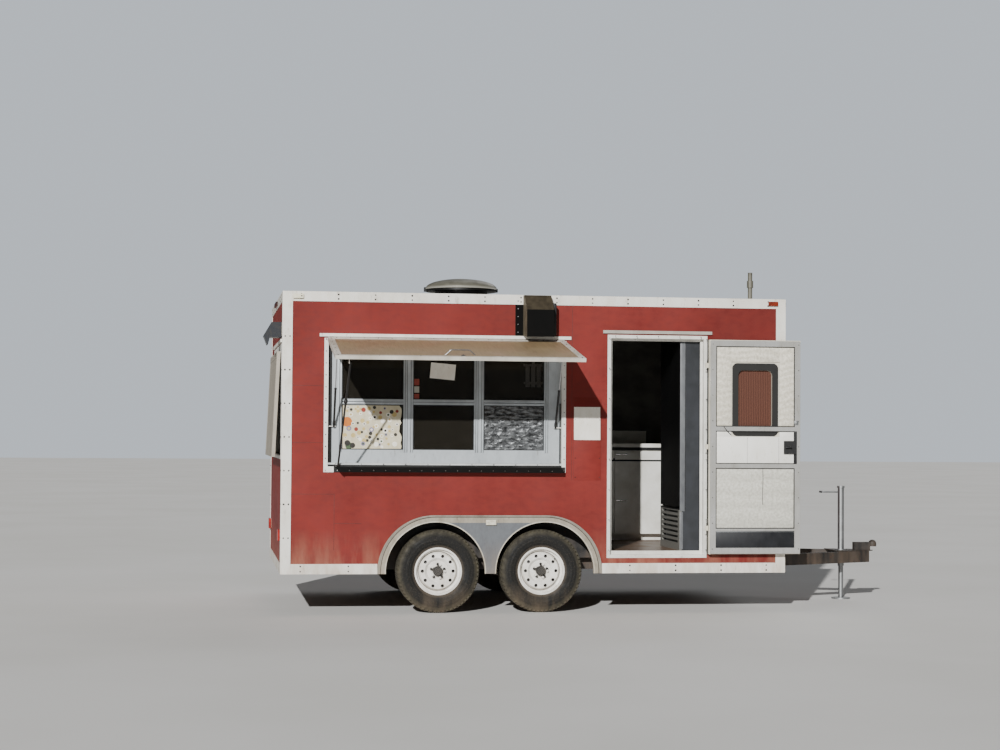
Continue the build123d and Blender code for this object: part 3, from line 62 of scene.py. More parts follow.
# Places read from the frame, and sizes that its pieces don't give, in millimetres
SIDE = HIGH["side_wall_road"].y
REAR = LOW["side_wall_curb"].x
FRONT = HIGH["side_wall_curb"].x
GROUND = LOW["tyre_rear_curb"].z
INNER_Y = HIGH["floor"].y
RAIL_LOW, RAIL_HIGH = LOW["roof_trim"].z, HIGH["roof_trim"].z
SKIRT_LOW, SKIRT_HIGH = LOW["base_trim"].z, HIGH["base_trim"].z
SHELF_LOW, SHELF_HIGH = LOW["serving_shelf"], HIGH["serving_shelf"]
TRIM_PROUD = 4.0
TRIM_Y = SIDE + TRIM_PROUD
POST_WIDE = 79.0
HATCH_PIN = PINS["hatch_hinge"]
HATCH_OPEN = radians(79)
HATCH_DOWN = Vector((0, -sin(HATCH_OPEN), -cos(HATCH_OPEN)))
HATCH_OUT = Vector((0, -cos(HATCH_OPEN), sin(HATCH_OPEN)))
HATCH_LONG = 985.0
HATCH_THICK = 27.0
HATCH_EDGING = 50.0
WHEELS = {name[5:]: PINS["spin_" + name[5:]] for name in NODES if name.startswith("tyre_")}
WHEEL_MIDDLE = sum(place.x for place in WHEELS.values()) / len(WHEELS)
WHEEL_HALF = WHEELS["front_curb"].x - WHEEL_MIDDLE
WHEEL_Z = WHEELS["front_curb"].z
ARCH_HALF = 458.0
ARCH_Z = -162.0
ARCH_LIP_R = 420.5
ARCH_GROOVE_R = 451.5
ARCH_BEAD_R = 458.5
ARCH_WEB_TOP = 246.0
RIM_SEAM_R = (158.0, 165.5)
DRUM_R = 146.0
DRUM_PROUD = 37.0
HUB_CAP_R = 41.5
RING_LOW = Vector((-1682, -1292, 975.5))
RING_HIGH = Vector((-1278, -1289, 1594.5))
RING_FACE = -1289.3


def colour(code):
    """An sRGB hex colour as linear light, with an alpha of one."""
    parts = [int(code[i:i + 2], 16) / 255 for i in (1, 3, 5)]
    return (*[p / 12.92 if p <= 0.04045 else ((p + 0.055) / 1.055) ** 2.4 for p in parts], 1)


def add(tree, kind, inputs=None, out=0, **settings):
    """Adds a node, sets or links its inputs by name or number, and gives one of its outputs."""
    made = tree.nodes.new(kind)
    for name, value in settings.items():
        setattr(made, name, value)
    for name, value in (inputs or {}).items():
        if isinstance(value, bpy.types.NodeSocket):
            tree.links.new(value, made.inputs[name])
        else:
            made.inputs[name].default_value = colour(value) if isinstance(value, str) else value
    return made.outputs[out] if made.outputs else made


# Material kit


class Surface:
    """A material in the making: its colour so far, and the Object coordinates that its patterns read."""

    def __init__(self, name):
        self.material = bpy.data.materials.new(name)
        self.material.use_nodes = True
        self.tree = self.material.node_tree
        self.tree.nodes.clear()
        self.shader = self.add("ShaderNodeBsdfPrincipled").node
        self.add("ShaderNodeOutputMaterial", {"Surface": self.shader.outputs["BSDF"]})
        self.place = self.add("ShaderNodeTexCoord", out="Object")
        self.x, self.y, self.z = self.add("ShaderNodeSeparateXYZ", {0: self.place}).node.outputs
        self.colour = self.mottle = None

    def add(self, kind, inputs=None, out=0, **settings):
        """Adds a node to this material."""
        return add(self.tree, kind, inputs, out, **settings)

    def grain(self, size, stretch=(1, 1, 1), detail=4, rough=0.55):
        """Noise whose grains are about size millimetres across, stretched along the axes."""
        scaled = self.add("ShaderNodeVectorMath", {0: self.place, 1: stretch}, operation="MULTIPLY")
        inputs = {"Vector": scaled, "Scale": 1 / (size * MM), "Detail": detail, "Roughness": rough}
        return self.add("ShaderNodeTexNoise", inputs)

    def patches(self, low, high, size, stretch=(1, 1, 1), detail=4, rough=0.55):
        """A share that grain gives: none where it is under low, full where it is over high."""
        noise = self.grain(size, stretch, detail, rough)
        return self.add("ShaderNodeMapRange", {"Value": noise, "From Min": low, "From Max": high})

    def fade(self, value, none, full):
        """A share that grows from none at one place, in millimetres, to full at another."""
        return self.add("ShaderNodeMapRange", {"Value": value, "From Min": none * MM, "From Max": full * MM})

    def both(self, first, second):
        """Two shares as one: their product."""
        return self.add("ShaderNodeMath", {0: first, 1: second}, operation="MULTIPLY")

    def band(self, value, low=None, high=None, unit=MM):
        """One where a value lies between two limits, in millimetres, and zero past them."""
        share = 1.0
        for limit, test in ((low, "GREATER_THAN"), (high, "LESS_THAN")):
            if limit is not None:
                past = self.add("ShaderNodeMath", {0: value, 1: limit * unit}, operation=test)
                share = self.both(share, past)
        return share

    def inside(self, low, high):
        """One inside a box given by two corners in millimetres, where None leaves a side open."""
        share = 1.0
        for value, start, end in zip((self.x, self.y, self.z), low, high):
            share = self.both(share, self.band(value, start, end))
        return share

    def wheel_reach(self, half, height):
        """Distances in side view: from the nearer wheel's axis, from the line between axes, and along X."""
        from_middle = self.add("ShaderNodeMath", {0: self.x, 1: WHEEL_MIDDLE * MM}, operation="SUBTRACT")
        across = self.add("ShaderNodeMath", {0: from_middle}, operation="ABSOLUTE")
        beside = self.add("ShaderNodeMath", {0: across, 1: half * MM}, operation="SUBTRACT")
        past = self.add("ShaderNodeMath", {0: beside, 1: 0.0}, operation="MAXIMUM")
        up = self.add("ShaderNodeMath", {0: self.z, 1: height * MM}, operation="SUBTRACT")
        spokes = [self.add("ShaderNodeCombineXYZ", {"X": run, "Z": up}) for run in (beside, past)]
        near, outer = [self.add("ShaderNodeVectorMath", {0: spoke}, "Value", operation="LENGTH")
                       for spoke in spokes]
        return near, outer, across

    def tone(self, share, first, second):
        """A colour that turns to another by a share."""
        return self.add("ShaderNodeMix", {0: share, 6: first, 7: second}, 2, data_type="RGBA")

    def paint(self, mottle, light, dark):
        """Starts the colour with two that a pattern mottles, which later coats share."""
        self.mottle = mottle
        self.colour = self.tone(mottle, light, dark)

    def lay(self, where, light, dark=None, strength=1.0, mottle=None):
        """Lays a coat over the colour so far, of one colour or of two that are mottled."""
        if dark is not None:
            light = self.tone(self.mottle if mottle is None else mottle, light, dark)
        self.colour = self.tone(self.both(where, strength), self.colour, light)

    def dust(self, code, low, high, strength=0.5):
        """Lays streaky road dust, thick at a low height over the ground and gone at a high one."""
        streaks = self.patches(0.35, 0.7, 90, (1, 1, 0.25))
        self.lay(self.both(self.fade(self.z, GROUND + high, GROUND + low), streaks), code, strength=strength)

    def worn(self, pattern, smooth, rough, low=0.0, high=1.0):
        """A roughness that a pattern spreads from smooth to rough."""
        inputs = {"Value": pattern, "From Min": low, "From Max": high, "To Min": smooth, "To Max": rough}
        return self.add("ShaderNodeMapRange", inputs)

    def relief(self, height, depth, strength=1.0):
        """Raises the surface by a height from 0 to 1, depth millimetres deep."""
        raised = self.add("ShaderNodeBump", {"Height": height, "Strength": strength, "Distance": depth * MM})
        self.tree.links.new(raised, self.shader.inputs["Normal"])

    def done(self, **values):
        """Sets or links the shader's sockets, an underscore for a space, and gives the material."""
        for name, value in {"Base_Color": self.colour, **values}.items():
            socket = self.shader.inputs[name.replace("_", " ")]
            if isinstance(value, bpy.types.NodeSocket):
                self.tree.links.new(value, socket)
            else:
                socket.default_value = colour(value) if isinstance(value, str) else value
        return self.material


# Materials


def side_enamel(name):
    """Red enamel rolled over aluminium siding: chalky in broad patches, dented and chipped, grey inside."""
    coat = Surface(name)
    broad = coat.patches(0.38, 0.62, 650, (1, 1, 0.7), 3)
    cloud = coat.patches(0.38, 0.62, 170, (0.6, 1, 1), 5, 0.6)
    rolled = coat.patches(0.35, 0.65, 38, (0.5, 1, 0.9), 5)
    coat.paint(broad, "#691f1b", "#7b2a25")
    coat.lay(cloud, "#6b2823", strength=0.45)
    coat.lay(rolled, "#91382e", strength=0.25)
    runs = coat.patches(0.56, 0.74, 30, (1, 1, 0.04), 4, 0.6)
    coat.lay(runs, "#5c1f18", strength=0.1)
    # The paint is made darker towards the front, over the door.
    darker_towards_front = coat.fade(coat.x, -2500, -1400)
    coat.lay(darker_towards_front, "#541915", strength=0.42)
    coat.dust("#b5856b", 330, 700)
    chips = coat.patches(0.735, 0.755, 20, detail=6, rough=0.7)
    coat.lay(chips, "#c9b9a6", strength=0.7)
    lining = (SIDE + INNER_Y) / 2
    coat.lay(coat.band(coat.y, -lining, lining), "#6a6862", "#55534e", mottle=cloud)
    broad_dents = coat.grain(420, detail=1)
    dents = coat.add("ShaderNodeMath", {0: coat.grain(12), 1: 0.02, 2: broad_dents}, operation="MULTIPLY_ADD")
    coat.relief(dents, 14)
    return coat.done(Roughness=coat.worn(rolled, 0.5, 0.7), IOR=1.5, Specular_IOR_Level=0.22)


def end_enamel(name):
    """The same red enamel on the end walls, whose inner faces are grey lining."""
    coat = Surface(name)
    rolled = coat.patches(0.35, 0.65, 38, (0.5, 1, 0.9), 5)
    coat.paint(coat.patches(0.38, 0.62, 650, (1, 1, 0.7), 3), "#691f1b", "#7b2a25")
    coat.lay(rolled, "#91382e", strength=0.25)
    coat.dust("#b5856b", 330, 700)
    coat.lay(coat.band(coat.x, REAR + 30, FRONT - 30), "#62605a")
    coat.relief(coat.grain(420, detail=1), 14)
    return coat.done(Roughness=coat.worn(rolled, 0.5, 0.7), IOR=1.5, Specular_IOR_Level=0.22)


def extrusion(name, light="#f3f0e7", dark="#d9d3c6", stain="#9c917d", metal=0.15, rough=0.45, grey_from=None):
    """Extruded aluminium, coated and years outside: chalked, streaked by rain and stained by road dust."""
    coat = Surface(name)
    cloudy = coat.patches(0.38, 0.68, 170, (1, 1, 0.5), 5, 0.65)
    coat.paint(cloudy, light, dark)
    spots = coat.patches(0.58, 0.74, 38, (1, 1, 0.3), 6, 0.7)
    coat.lay(spots, stain, strength=0.6)
    if grey_from is not None:
        coat.lay(coat.band(coat.x, grey_from), "#b5afa5", "#938d82")
    coat.dust("#a58d72", 330, 520)
    lines = coat.grain(12, (0.15, 1, 1), 3)
    drawn = coat.add("ShaderNodeMath", {0: cloudy, 1: 0.6, 2: lines}, operation="MULTIPLY_ADD")
    coat.relief(drawn, 0.6, 0.6)
    return coat.done(Metallic=metal, Roughness=coat.worn(cloudy, rough - 0.08, rough + 0.12))


def arch_plate(name):
    """Mill aluminium round the wheels: a bright rolled lip, a dull band, a web in painted shade, a groove
    darkened by painted shade, and a bead.
    """
    coat = Surface(name)
    near, outer, across = coat.wheel_reach(ARCH_HALF, ARCH_Z)
    cloudy = coat.patches(0.35, 0.68, 80, (1, 1, 0.6), 5, 0.65)
    coat.paint(cloudy, "#b3ab9a", "#8d8474")
    streaks = coat.patches(0.56, 0.72, 26, (1, 1, 0.3), 6, 0.7)
    coat.lay(streaks, "#5f564a", strength=0.55)
    # Painted shade: the web beside and under the arch is made a darker grey.
    web = coat.both(coat.band(across, high=ARCH_HALF), coat.band(near, ARCH_LIP_R))
    coat.lay(coat.both(web, coat.band(coat.z, high=ARCH_WEB_TOP)), "#74777a", "#5f6164")
    # Painted shade: the groove between the band and the bead is darkened.
    coat.lay(coat.band(outer, ARCH_GROOVE_R, ARCH_BEAD_R), "#2d2822", strength=0.85)
    coat.lay(coat.band(outer, ARCH_BEAD_R), "#a49d90", "#7b7468")
    coat.lay(coat.band(near, high=ARCH_LIP_R), "#e0dacb", "#aaa18f")
    coat.dust("#a08a70", 330, 620)
    coat.relief(coat.grain(45), 2.0, 0.6)
    return coat.done(Metallic=0.35, Roughness=coat.worn(cloudy, 0.36, 0.56))


def coated_sheet(name, light, dark, stain, rough=0.5, size=120):
    """Factory-coated sheet, faded, with rain streaks and a faint orange-peel."""
    coat = Surface(name)
    cloudy = coat.patches(0.35, 0.68, size, (1, 1, 0.5))
    coat.paint(cloudy, light, dark)
    marks = coat.patches(0.57, 0.74, size / 4, (1, 0.35, 0.35), 6, 0.7)
    coat.lay(marks, stain, strength=0.6)
    coat.relief(coat.grain(4, detail=2), 0.4, 0.4)
    return coat.done(Roughness=coat.worn(cloudy, rough - 0.06, rough + 0.1))


def hatch_sheet(name):
    """Embossed hatch sheet bleached to tan, with fine streaks across it, in a pale aluminium edging."""
    coat = Surface(name)
    streaks = coat.patches(0.35, 0.66, 9, (1, 0.05, 0.05))
    cloudy = coat.patches(0.35, 0.68, 190, (1, 0.6, 0.6), 5)
    coat.paint(streaks, "#997f5d", "#7f694b")
    coat.lay(cloudy, "#9b8a68", strength=0.45)
    stain = coat.patches(0.58, 0.72, 26, (1, 0.2, 0.2), 6, 0.7)
    coat.lay(stain, "#5b4937", strength=0.55)
    parted = coat.add("ShaderNodeVectorMath", {0: coat.place, 1: HATCH_PIN * MM}, operation="SUBTRACT")
    fall = coat.add("ShaderNodeVectorMath", {0: parted, 1: HATCH_DOWN}, "Value", operation="DOT_PRODUCT")
    reach = (HIGH["serving_hatch"].x - LOW["serving_hatch"].x) / 2 - HATCH_EDGING
    across = coat.band(coat.x, HATCH_PIN.x - reach, HATCH_PIN.x + reach)
    sheet = coat.both(across, coat.band(fall, 2 * HATCH_EDGING, HATCH_LONG - HATCH_EDGING))
    edging = coat.tone(cloudy, "#d6d1c5", "#aea798")
    edging = coat.tone(coat.both(stain, 0.5), edging, "#7f7462")
    coat.colour = coat.tone(sheet, edging, coat.colour)
    coat.relief(streaks, 0.5, 0.5)
    return coat.done(Roughness=coat.worn(cloudy, 0.42, 0.6), Metallic=0.1)


def chassis_enamel(name):
    """Black brushed-on chassis enamel, rusting at its edges and grey with road dust below."""
    coat = Surface(name)
    cloudy = coat.patches(0.4, 0.66, 90, detail=5)
    coat.paint(cloudy, "#1b1a19", "#2c2824")
    rust = coat.patches(0.62, 0.7, 30, detail=6, rough=0.7)
    coat.lay(rust, "#6b3a20", strength=0.8)
    coat.dust("#8d7660", 50, 700)
    coat.relief(coat.grain(10), 1.0, 0.5)
    return coat.done(Roughness=coat.worn(cloudy, 0.45, 0.75))


def tyre_rubber(name):
    """Cured tyre rubber: charcoal, browned by dust on the tread and shoulders, darker on the sidewall."""
    coat = Surface(name)
    near, _, _ = coat.wheel_reach(WHEEL_HALF, WHEEL_Z)
    cloudy = coat.patches(0.35, 0.7, 50, detail=5)
    coat.paint(cloudy, "#0c0c0b", "#181714")
    speckle = coat.patches(0.52, 0.7, 9, detail=5)
    coat.lay(speckle, "#5a5044", strength=0.25)
    shoulder = coat.fade(near, 290, 325)
    coat.lay(shoulder, "#57513f", "#38342c", 0.6)
    bead = coat.fade(near, 222, 205)
    coat.lay(bead, "#6f6354", strength=0.3)
    coat.dust("#7d6c57", 0, 260, 0.45)
    coat.relief(coat.grain(3, detail=3), 0.6, 0.5)
    return coat.done(Roughness=coat.worn(cloudy, 0.6, 0.85), Specular_IOR_Level=0.3)


def wheel_enamel(name):
    """White baked enamel on a pressed steel wheel, dull and rust-spotted, with a greasy hub in painted rings
    of shade and a dark drum.
    """
    coat = Surface(name)
    near, _, _ = coat.wheel_reach(WHEEL_HALF, WHEEL_Z)
    cloudy = coat.patches(0.35, 0.7, 60, detail=5)
    coat.paint(cloudy, "#f4f1ea", "#dad5ca")
    drops = coat.patches(0.58, 0.7, 13, detail=6, rough=0.7)
    coat.lay(drops, "#7b6350", strength=0.65)
    coat.lay(coat.band(near, *RIM_SEAM_R), "#3a332b", strength=0.8)
    grime = coat.both(coat.fade(near, 95, 41), drops)
    coat.lay(grime, "#6a5f52", strength=0.5)
    coat.dust("#8d7a66", 100, 420, 0.45)
    # Painted shade: dark concentric rings over the grey grease on the hub stand for the shading of its turned
    # rings.
    rings = coat.add("ShaderNodeCombineXYZ", {"X": near})
    ring_shade_waves = coat.add("ShaderNodeTexWave", {"Vector": rings, "Scale": 28.0}, 1, bands_direction="X")
    turned = coat.add("ShaderNodeMapRange", {"Value": ring_shade_waves, "From Min": 0.3, "From Max": 0.7})
    grease = coat.tone(turned, "#191715", coat.tone(cloudy, "#5a554e", "#3a3630"))
    coat.lay(coat.band(near, high=HUB_CAP_R), grease)
    drum_y = abs(WHEELS["front_curb"].y) + DRUM_PROUD
    drum = coat.both(coat.band(coat.y, -drum_y, drum_y), coat.band(near, high=DRUM_R))
    coat.lay(drum, "#26211d", "#523624", mottle=drops)
    coat.relief(coat.grain(6, detail=3), 0.5, 0.4)
    return coat.done(Roughness=coat.worn(cloudy, 0.35, 0.6))


def dark_glass(name, tint, cover, striped_wall_view=None):
    """Float glass with a grease film over a dark inside; a second colour paints it in stripes as a shaded
    wall seen behind it. Cover is how much it hides.
    """
    coat = Surface(name)
    coat.colour = tint
    # Stripes painted as a shaded wall seen behind the glass.
    if striped_wall_view:
        wave = {"Vector": coat.place, "Scale": 21.0, "Distortion": 1.2, "Detail": 1.0, "Detail Scale": 0.6}
        coat.paint(coat.add("ShaderNodeTexWave", wave, 1, bands_direction="X"), tint, striped_wall_view)
    film = coat.grain(120)
    return coat.done(Roughness=coat.worn(film, 0.03, 0.12, 0.4, 0.7), IOR=1.45, Alpha=cover)


def moulded_plastic(name, light="#0b0b0b", dark="#1a1918", rough=0.5):
    """Moulded plastic or rubber with a fine stipple, mottled between two near-blacks."""
    coat = Surface(name)
    cloudy = coat.patches(0.35, 0.7, 30)
    coat.paint(cloudy, light, dark)
    coat.relief(coat.grain(1.5, detail=2), 0.2, 0.5)
    return coat.done(Roughness=coat.worn(cloudy, rough, rough + 0.2))


def bright_steel(name, base="#b9babb", rough=0.22, size=3, along=(0.05, 1, 1), metal=1.0):
    """Plated or brushed steel: fine lines along one way, with a soft smear of grease."""
    coat = Surface(name)
    lines = coat.grain(size, along, 3)
    smear = coat.patches(0.35, 0.7, 150)
    coat.paint(coat.both(smear, 0.3), base, "#6d6a64")
    coat.relief(lines, 0.2, 0.35)
    return coat.done(Metallic=metal, Roughness=coat.worn(lines, rough, rough + 0.16, 0.3, 0.7))


def insect_screen(name, light, dark, bands):
    """Fibreglass screen over a cream panel: its weave is too fine to show, so its moire bands are drawn."""
    coat = Surface(name)
    wave = {"Vector": coat.place, "Scale": bands, "Distortion": 9.0, "Detail": 2.0, "Detail Scale": 0.8}
    moire = coat.both(coat.add("ShaderNodeTexWave", wave, 1, bands_direction="Z"), 0.55)
    coat.paint(moire, light, dark)
    coat.lay(coat.patches(0.4, 0.66, 22, detail=5, rough=0.65), "#8e8877", strength=0.5)
    coat.relief(moire, 1.5, 0.5)
    return coat.done(Roughness=0.8)


def cabinet_steel(name):
    """Brushed stainless kitchen units; on the fridge a dark grey side, pale louvres, and its rear-facing door
    painted black as shade.
    """
    coat = Surface(name)
    lines = coat.grain(3, (0.05, 0.05, 1), 3)
    coat.paint(coat.patches(0.35, 0.7, 150), "#efede5", "#d8d5ca")
    left, deep, louvre_top = LOW["fridge"].x, 200, 350
    coat.lay(coat.inside((left - 5, None, None), (None, deep, None)), "#34363a", "#27292b")
    # Painted shade: the fridge's rear-facing door is made black.
    coat.lay(coat.inside((left - 40, None, louvre_top), (left + 45, deep, None)), "#0d0d0e")
    coat.lay(coat.inside((left - 40, None, None), (left + 20, deep, louvre_top)), "#7d7c76")
    coat.relief(lines, 0.2, 0.35)
    return coat.done(Metallic=0.1, Roughness=coat.worn(lines, 0.3, 0.46, 0.3, 0.7))


def plywood_floor(name):
    """Sealed plywood floor, brown with scuffs and a worn path."""
    coat = Surface(name)
    coat.paint(coat.patches(0.35, 0.68, 10, (0.06, 1, 1), 5), "#6a5240", "#4a382b")
    scuffs = coat.patches(0.5, 0.7, 200, detail=5)
    coat.lay(scuffs, "#8a7763", strength=0.5)
    coat.relief(coat.grain(10, (0.06, 1, 1), 5), 0.8, 0.5)
    return coat.done(Roughness=coat.worn(scuffs, 0.4, 0.65))


def lamp_lens(name):
    """Acrylic lenses by their place: cream at the rear corner, amber red at the front, red at the tail."""
    coat = Surface(name)
    coat.paint(coat.patches(0.45, 0.7, 24), "#efe9d2", "#d8cda8")
    behind = REAR - 1
    lamps = {
        "front marker": ((-2000, None, None), (None, None, None), "#7d2b16", "#4a1a10"),
        "reflector on the web": ((-4000, None, None), (-3400, None, 500), "#e2dcc8", "#b5ab92"),
        "tail lamps": ((None, None, None), (behind, None, 400), "#a01d14", "#6a130e"),
        "row over the rear hatch": ((None, -600, 1900), (behind, 600, None), "#3a1512", "#251311"),
        "wall lamp": ((None, -1100, 1600), (behind, -700, 1950), "#303236", "#3b3a38"),
    }
    for low, high, light, dark in lamps.values():
        coat.lay(coat.inside(low, high), light, dark)
    coat.relief(coat.grain(7, detail=1), 0.6, 0.4)
    return coat.done(Roughness=0.28, IOR=1.49)


def bronze_hood(name):
    """Dark bronze hood sheet, with painted light: khaki on the side that faces the rear and brown on its top
    bevel, where the sun falls.
    """
    coat = Surface(name)
    cloudy = coat.patches(0.35, 0.68, 60, (1, 1, 0.5), 5)
    coat.paint(cloudy, "#050504", "#0b0a09")
    facing = coat.add("ShaderNodeNewGeometry", out="True Normal")
    to_front, _, to_top = coat.add("ShaderNodeSeparateXYZ", {0: facing}).node.outputs
    # Painted light: the side facing the rear is lightened to khaki, and the top bevel below to brown.
    coat.lay(coat.band(to_front, high=-0.7, unit=1), "#6f6857", "#565044")
    bevel = coat.both(coat.band(to_top, 0.35, 0.95, unit=1), coat.band(coat.z, 1930))
    coat.lay(bevel, "#453e31", "#322c23")
    coat.relief(coat.grain(5), 0.4, 0.4)
    return coat.done(Roughness=coat.worn(cloudy, 0.55, 0.7), Specular_IOR_Level=0.08)


def vent_sheet(name):
    """Spun aluminium vent gone olive brown; the fan's has a painted highlight on its lower rim and painted
    shade under it.
    """
    coat = Surface(name)
    cloudy = coat.patches(0.35, 0.68, 90, detail=5)
    coat.paint(cloudy, "#777468", "#5a574c")
    fan = coat.band(coat.x, high=-2500)
    # Painted highlight: the fan's lower rim is lightened.
    rim = coat.both(coat.fade(coat.z, 2285, 2266), fan)
    coat.lay(rim, "#b9b6aa", strength=0.75)
    # Painted shade: the fan's underside is made black.
    under = coat.both(fan, coat.band(coat.z, 2175, 2262.5))
    coat.lay(under, "#0e0d0c")
    coat.relief(cloudy, 0.8, 0.5)
    return coat.done(Metallic=0.3, Roughness=coat.worn(cloudy, 0.34, 0.5))


def window_flange(name):
    """White coated flange round the serving window, with its foot under the shelf painted black as the
    shelf's shadow.
    """
    coat = Surface(name)
    cloudy = coat.patches(0.38, 0.68, 120, (1, 1, 0.5), 5, 0.65)
    coat.paint(cloudy, "#eceae3", "#cfccc3")
    rust = coat.patches(0.6, 0.74, 30, (1, 1, 0.3), 6, 0.7)
    coat.lay(rust, "#8f8371", strength=0.6)
    # Painted shadow: the flange's foot under the shelf is made black, as the shelf's shadow.
    coat.lay(coat.inside((-5020, None, None), (-3092, -1000, SHELF_LOW.z + 1)), "#141413", "#1f1d1a")
    coat.relief(cloudy, 0.6, 0.5)
    return coat.done(Roughness=coat.worn(cloudy, 0.34, 0.52))


def shelf_sheet(name):
    """Bright folded aluminium shelf, scuffed in waves, with painted shade: black on its front below the top
    13 mm.
    """
    coat = Surface(name)
    waves = coat.patches(0.35, 0.66, 60, (0.4, 1, 1))
    coat.paint(waves, "#d5d8d6", "#a9abaa")
    # Painted shade: the shelf's front below its top 13 mm is made black.
    coat.lay(coat.band(coat.z, high=SHELF_HIGH.z - 13), "#0b0b0a", "#171614")
    coat.relief(waves, 2, 0.6)
    return coat.done(Metallic=0.2, Roughness=coat.worn(waves, 0.35, 0.6))


def door_leaf(name):
    """Cream moulded door skin, with a dark grey ring round its window, edged by a thin painted highlight."""
    coat = Surface(name)
    cloudy = coat.patches(0.35, 0.68, 100, (1, 1, 0.5))
    coat.paint(cloudy, "#d9d3c2", "#c6c0af")
    # The ring's bright 2 mm edge is a painted highlight; the dark grey inside it is the ring's own colour.
    for inset, finish in ((0, ("#c9c7c0",)), (2, ("#1a1916", "#12110e"))):
        low = (RING_LOW.x + inset, None, RING_LOW.z + inset)
        high = (RING_HIGH.x - inset, RING_FACE, RING_HIGH.z - inset)
        coat.lay(coat.inside(low, high), *finish)
    coat.relief(coat.grain(4, detail=2), 0.4, 0.4)
    return coat.done(Roughness=coat.worn(cloudy, 0.45, 0.6))


def crinkled_foil(name):
    """Kitchen foil, crushed and flattened again, with painted reflections: bright and dark patches for its
    facets and folds.
    """
    coat = Surface(name)
    flat = coat.add("ShaderNodeVectorMath", {0: coat.place, 1: (0.55, 1, 1.5)}, operation="MULTIPLY")
    folds = coat.add("ShaderNodeTexVoronoi", {"Vector": flat, "Scale": 24.0}, "Distance", feature="F1")
    # Painted reflections: the foil's colour is mottled bright and dark for its facets and folds.
    coat.paint(coat.patches(0.38, 0.62, 24, (0.7, 1, 1.3), 5, 0.65), "#7a7c7d", "#2b2c2d")
    small = coat.grain(24, (0.7, 1, 1.3), 5, 0.65)
    crushed = coat.add("ShaderNodeMath", {0: small, 1: 0.4, 2: folds}, operation="MULTIPLY_ADD")
    coat.relief(crushed, 9)
    return coat.done(Metallic=0.6, Roughness=0.34)


def studio_floor(name):
    """A pale painted floor, with only a breath of unevenness."""
    coat = Surface(name)
    coat.paint(coat.patches(0.35, 0.65, 2500, detail=3), "#d9d7d2", "#e0deda")
    return coat.done(Roughness=0.8)


RED_SIDE = side_enamel("red_enamel_side_siding")
RED_END = end_enamel("red_enamel_end_siding")
TRIM = extrusion("coated_aluminium_extrusion")
RAIN_RAIL = extrusion("aluminium_rain_rail", grey_from=-2900)
ARCH = arch_plate("mill_aluminium_arch")
FRAME_WHITE = extrusion("coated_aluminium_window_frame", "#eceae3", "#cfccc3", "#8f8371", 0.1, 0.4)
SASH = extrusion("mill_aluminium_sash", "#c3c9cc", "#a3a8ab", "#7d7b75", 0.3, 0.38)
FLANGE = window_flange("coated_window_flange")
SHELF = shelf_sheet("aluminium_shelf_with_painted_shade_below")
DOOR_SILVER = extrusion("mill_aluminium_door_frame", "#c9c8c4", "#a5a39c", "#7b7467", 0.5, 0.35)
ROOF_SHEET = coated_sheet("white_coated_roof_sheet", "#dedbd2", "#ccc8bd", "#b0a898")
HATCH_SHEET = hatch_sheet("tan_weathered_hatch_sheet")
REAR_HATCH = coated_sheet("grey_hatch_sheet", "#aaa294", "#978f80", "#857c6d")
CHASSIS = chassis_enamel("black_chassis_enamel")
RUBBER = tyre_rubber("cured_tyre_rubber")
WHEEL_WHITE = wheel_enamel("white_wheel_enamel")
GLASS = dark_glass("float_glass", "#28251f", 0.55)
# Painted view: the door glass is reddish brown, as the shaded red wall behind it.
DOOR_GLASS = dark_glass("door_glass_painted_with_shaded_wall", "#6c4a3e", 0.85, "#53362d")
# Black plastic, also used as the hood's painted shadow.
BLACK_PLASTIC_AND_SHADOW = moulded_plastic("black_moulded_plastic_and_painted_shadow")
# Black rubber for seals and strings, also used as painted shade in gaps and grooves.
BLACK_SEAL_AND_GAP_SHADE = moulded_plastic("black_rubber_and_painted_gap_shade", "#0d0d0d", "#1c1b1a", 0.6)
STRUT_BLACK = moulded_plastic("black_enamelled_strut", "#101010", "#22201e", 0.35)
STRUT_STEEL = bright_steel("chromed_piston_rod", "#c8c9cb", 0.12)
ZINC = bright_steel("zinc_plated_steel", "#a4a6a6", 0.4, 20, (1, 1, 1))
SCREW_DARK = bright_steel("rusted_screw_heads", "#1d1915", 0.6, 4, (1, 1, 1), 0.2)
SCREW_BRIGHT = bright_steel("plated_screw_heads", "#d2d1cc", 0.35, 4, (1, 1, 1), 0.6)
CABINET = cabinet_steel("brushed_stainless_cabinet")
BRONZE = bronze_hood("dark_bronze_hood_sheet")
VENT = vent_sheet("spun_aluminium_vent")
DOOR_LEAF = door_leaf("cream_door_panel")
SLIDER = coated_sheet("off_white_slider_panel", "#f6f4ec", "#eeebe1", "#b5ad9a", 0.45, 100)
FRIDGE_TRIM = coated_sheet("grey_fridge_trim", "#6e7072", "#55575a", "#3a3b3c", 0.4, 60)
SLATE = coated_sheet("slate_kick_panel", "#0c0e12", "#15171b", "#2f2c28", 0.5, 60)
SCREEN_HIGH = insect_screen("insect_screen_upper", "#ece5d3", "#c6bfac", 5.5)
SCREEN_LOW = insect_screen("insect_screen_lower", "#d8d6ca", "#c2c0b4", 2.2)
PAPER = coated_sheet("blank_paper", "#f5f0e5", "#eae4d6", "#bdb29b", 0.7, 60)
CREAM_VINYL = coated_sheet("cream_vinyl_sheet", "#d8cfb4", "#c7bc9d", "#9c8f70", 0.5, 60)
DISC_ORANGE = coated_sheet("orange_vinyl_disc", "#cf7a2c", "#b8641f", "#8e4a18", 0.4, 30)
DISC_RED = coated_sheet("red_vinyl_disc", "#9c3a2c", "#83301f", "#5e2418", 0.4, 30)
DISC_GREEN = coated_sheet("green_vinyl_disc", "#4e6142", "#3d4d34", "#2a3524", 0.4, 30)
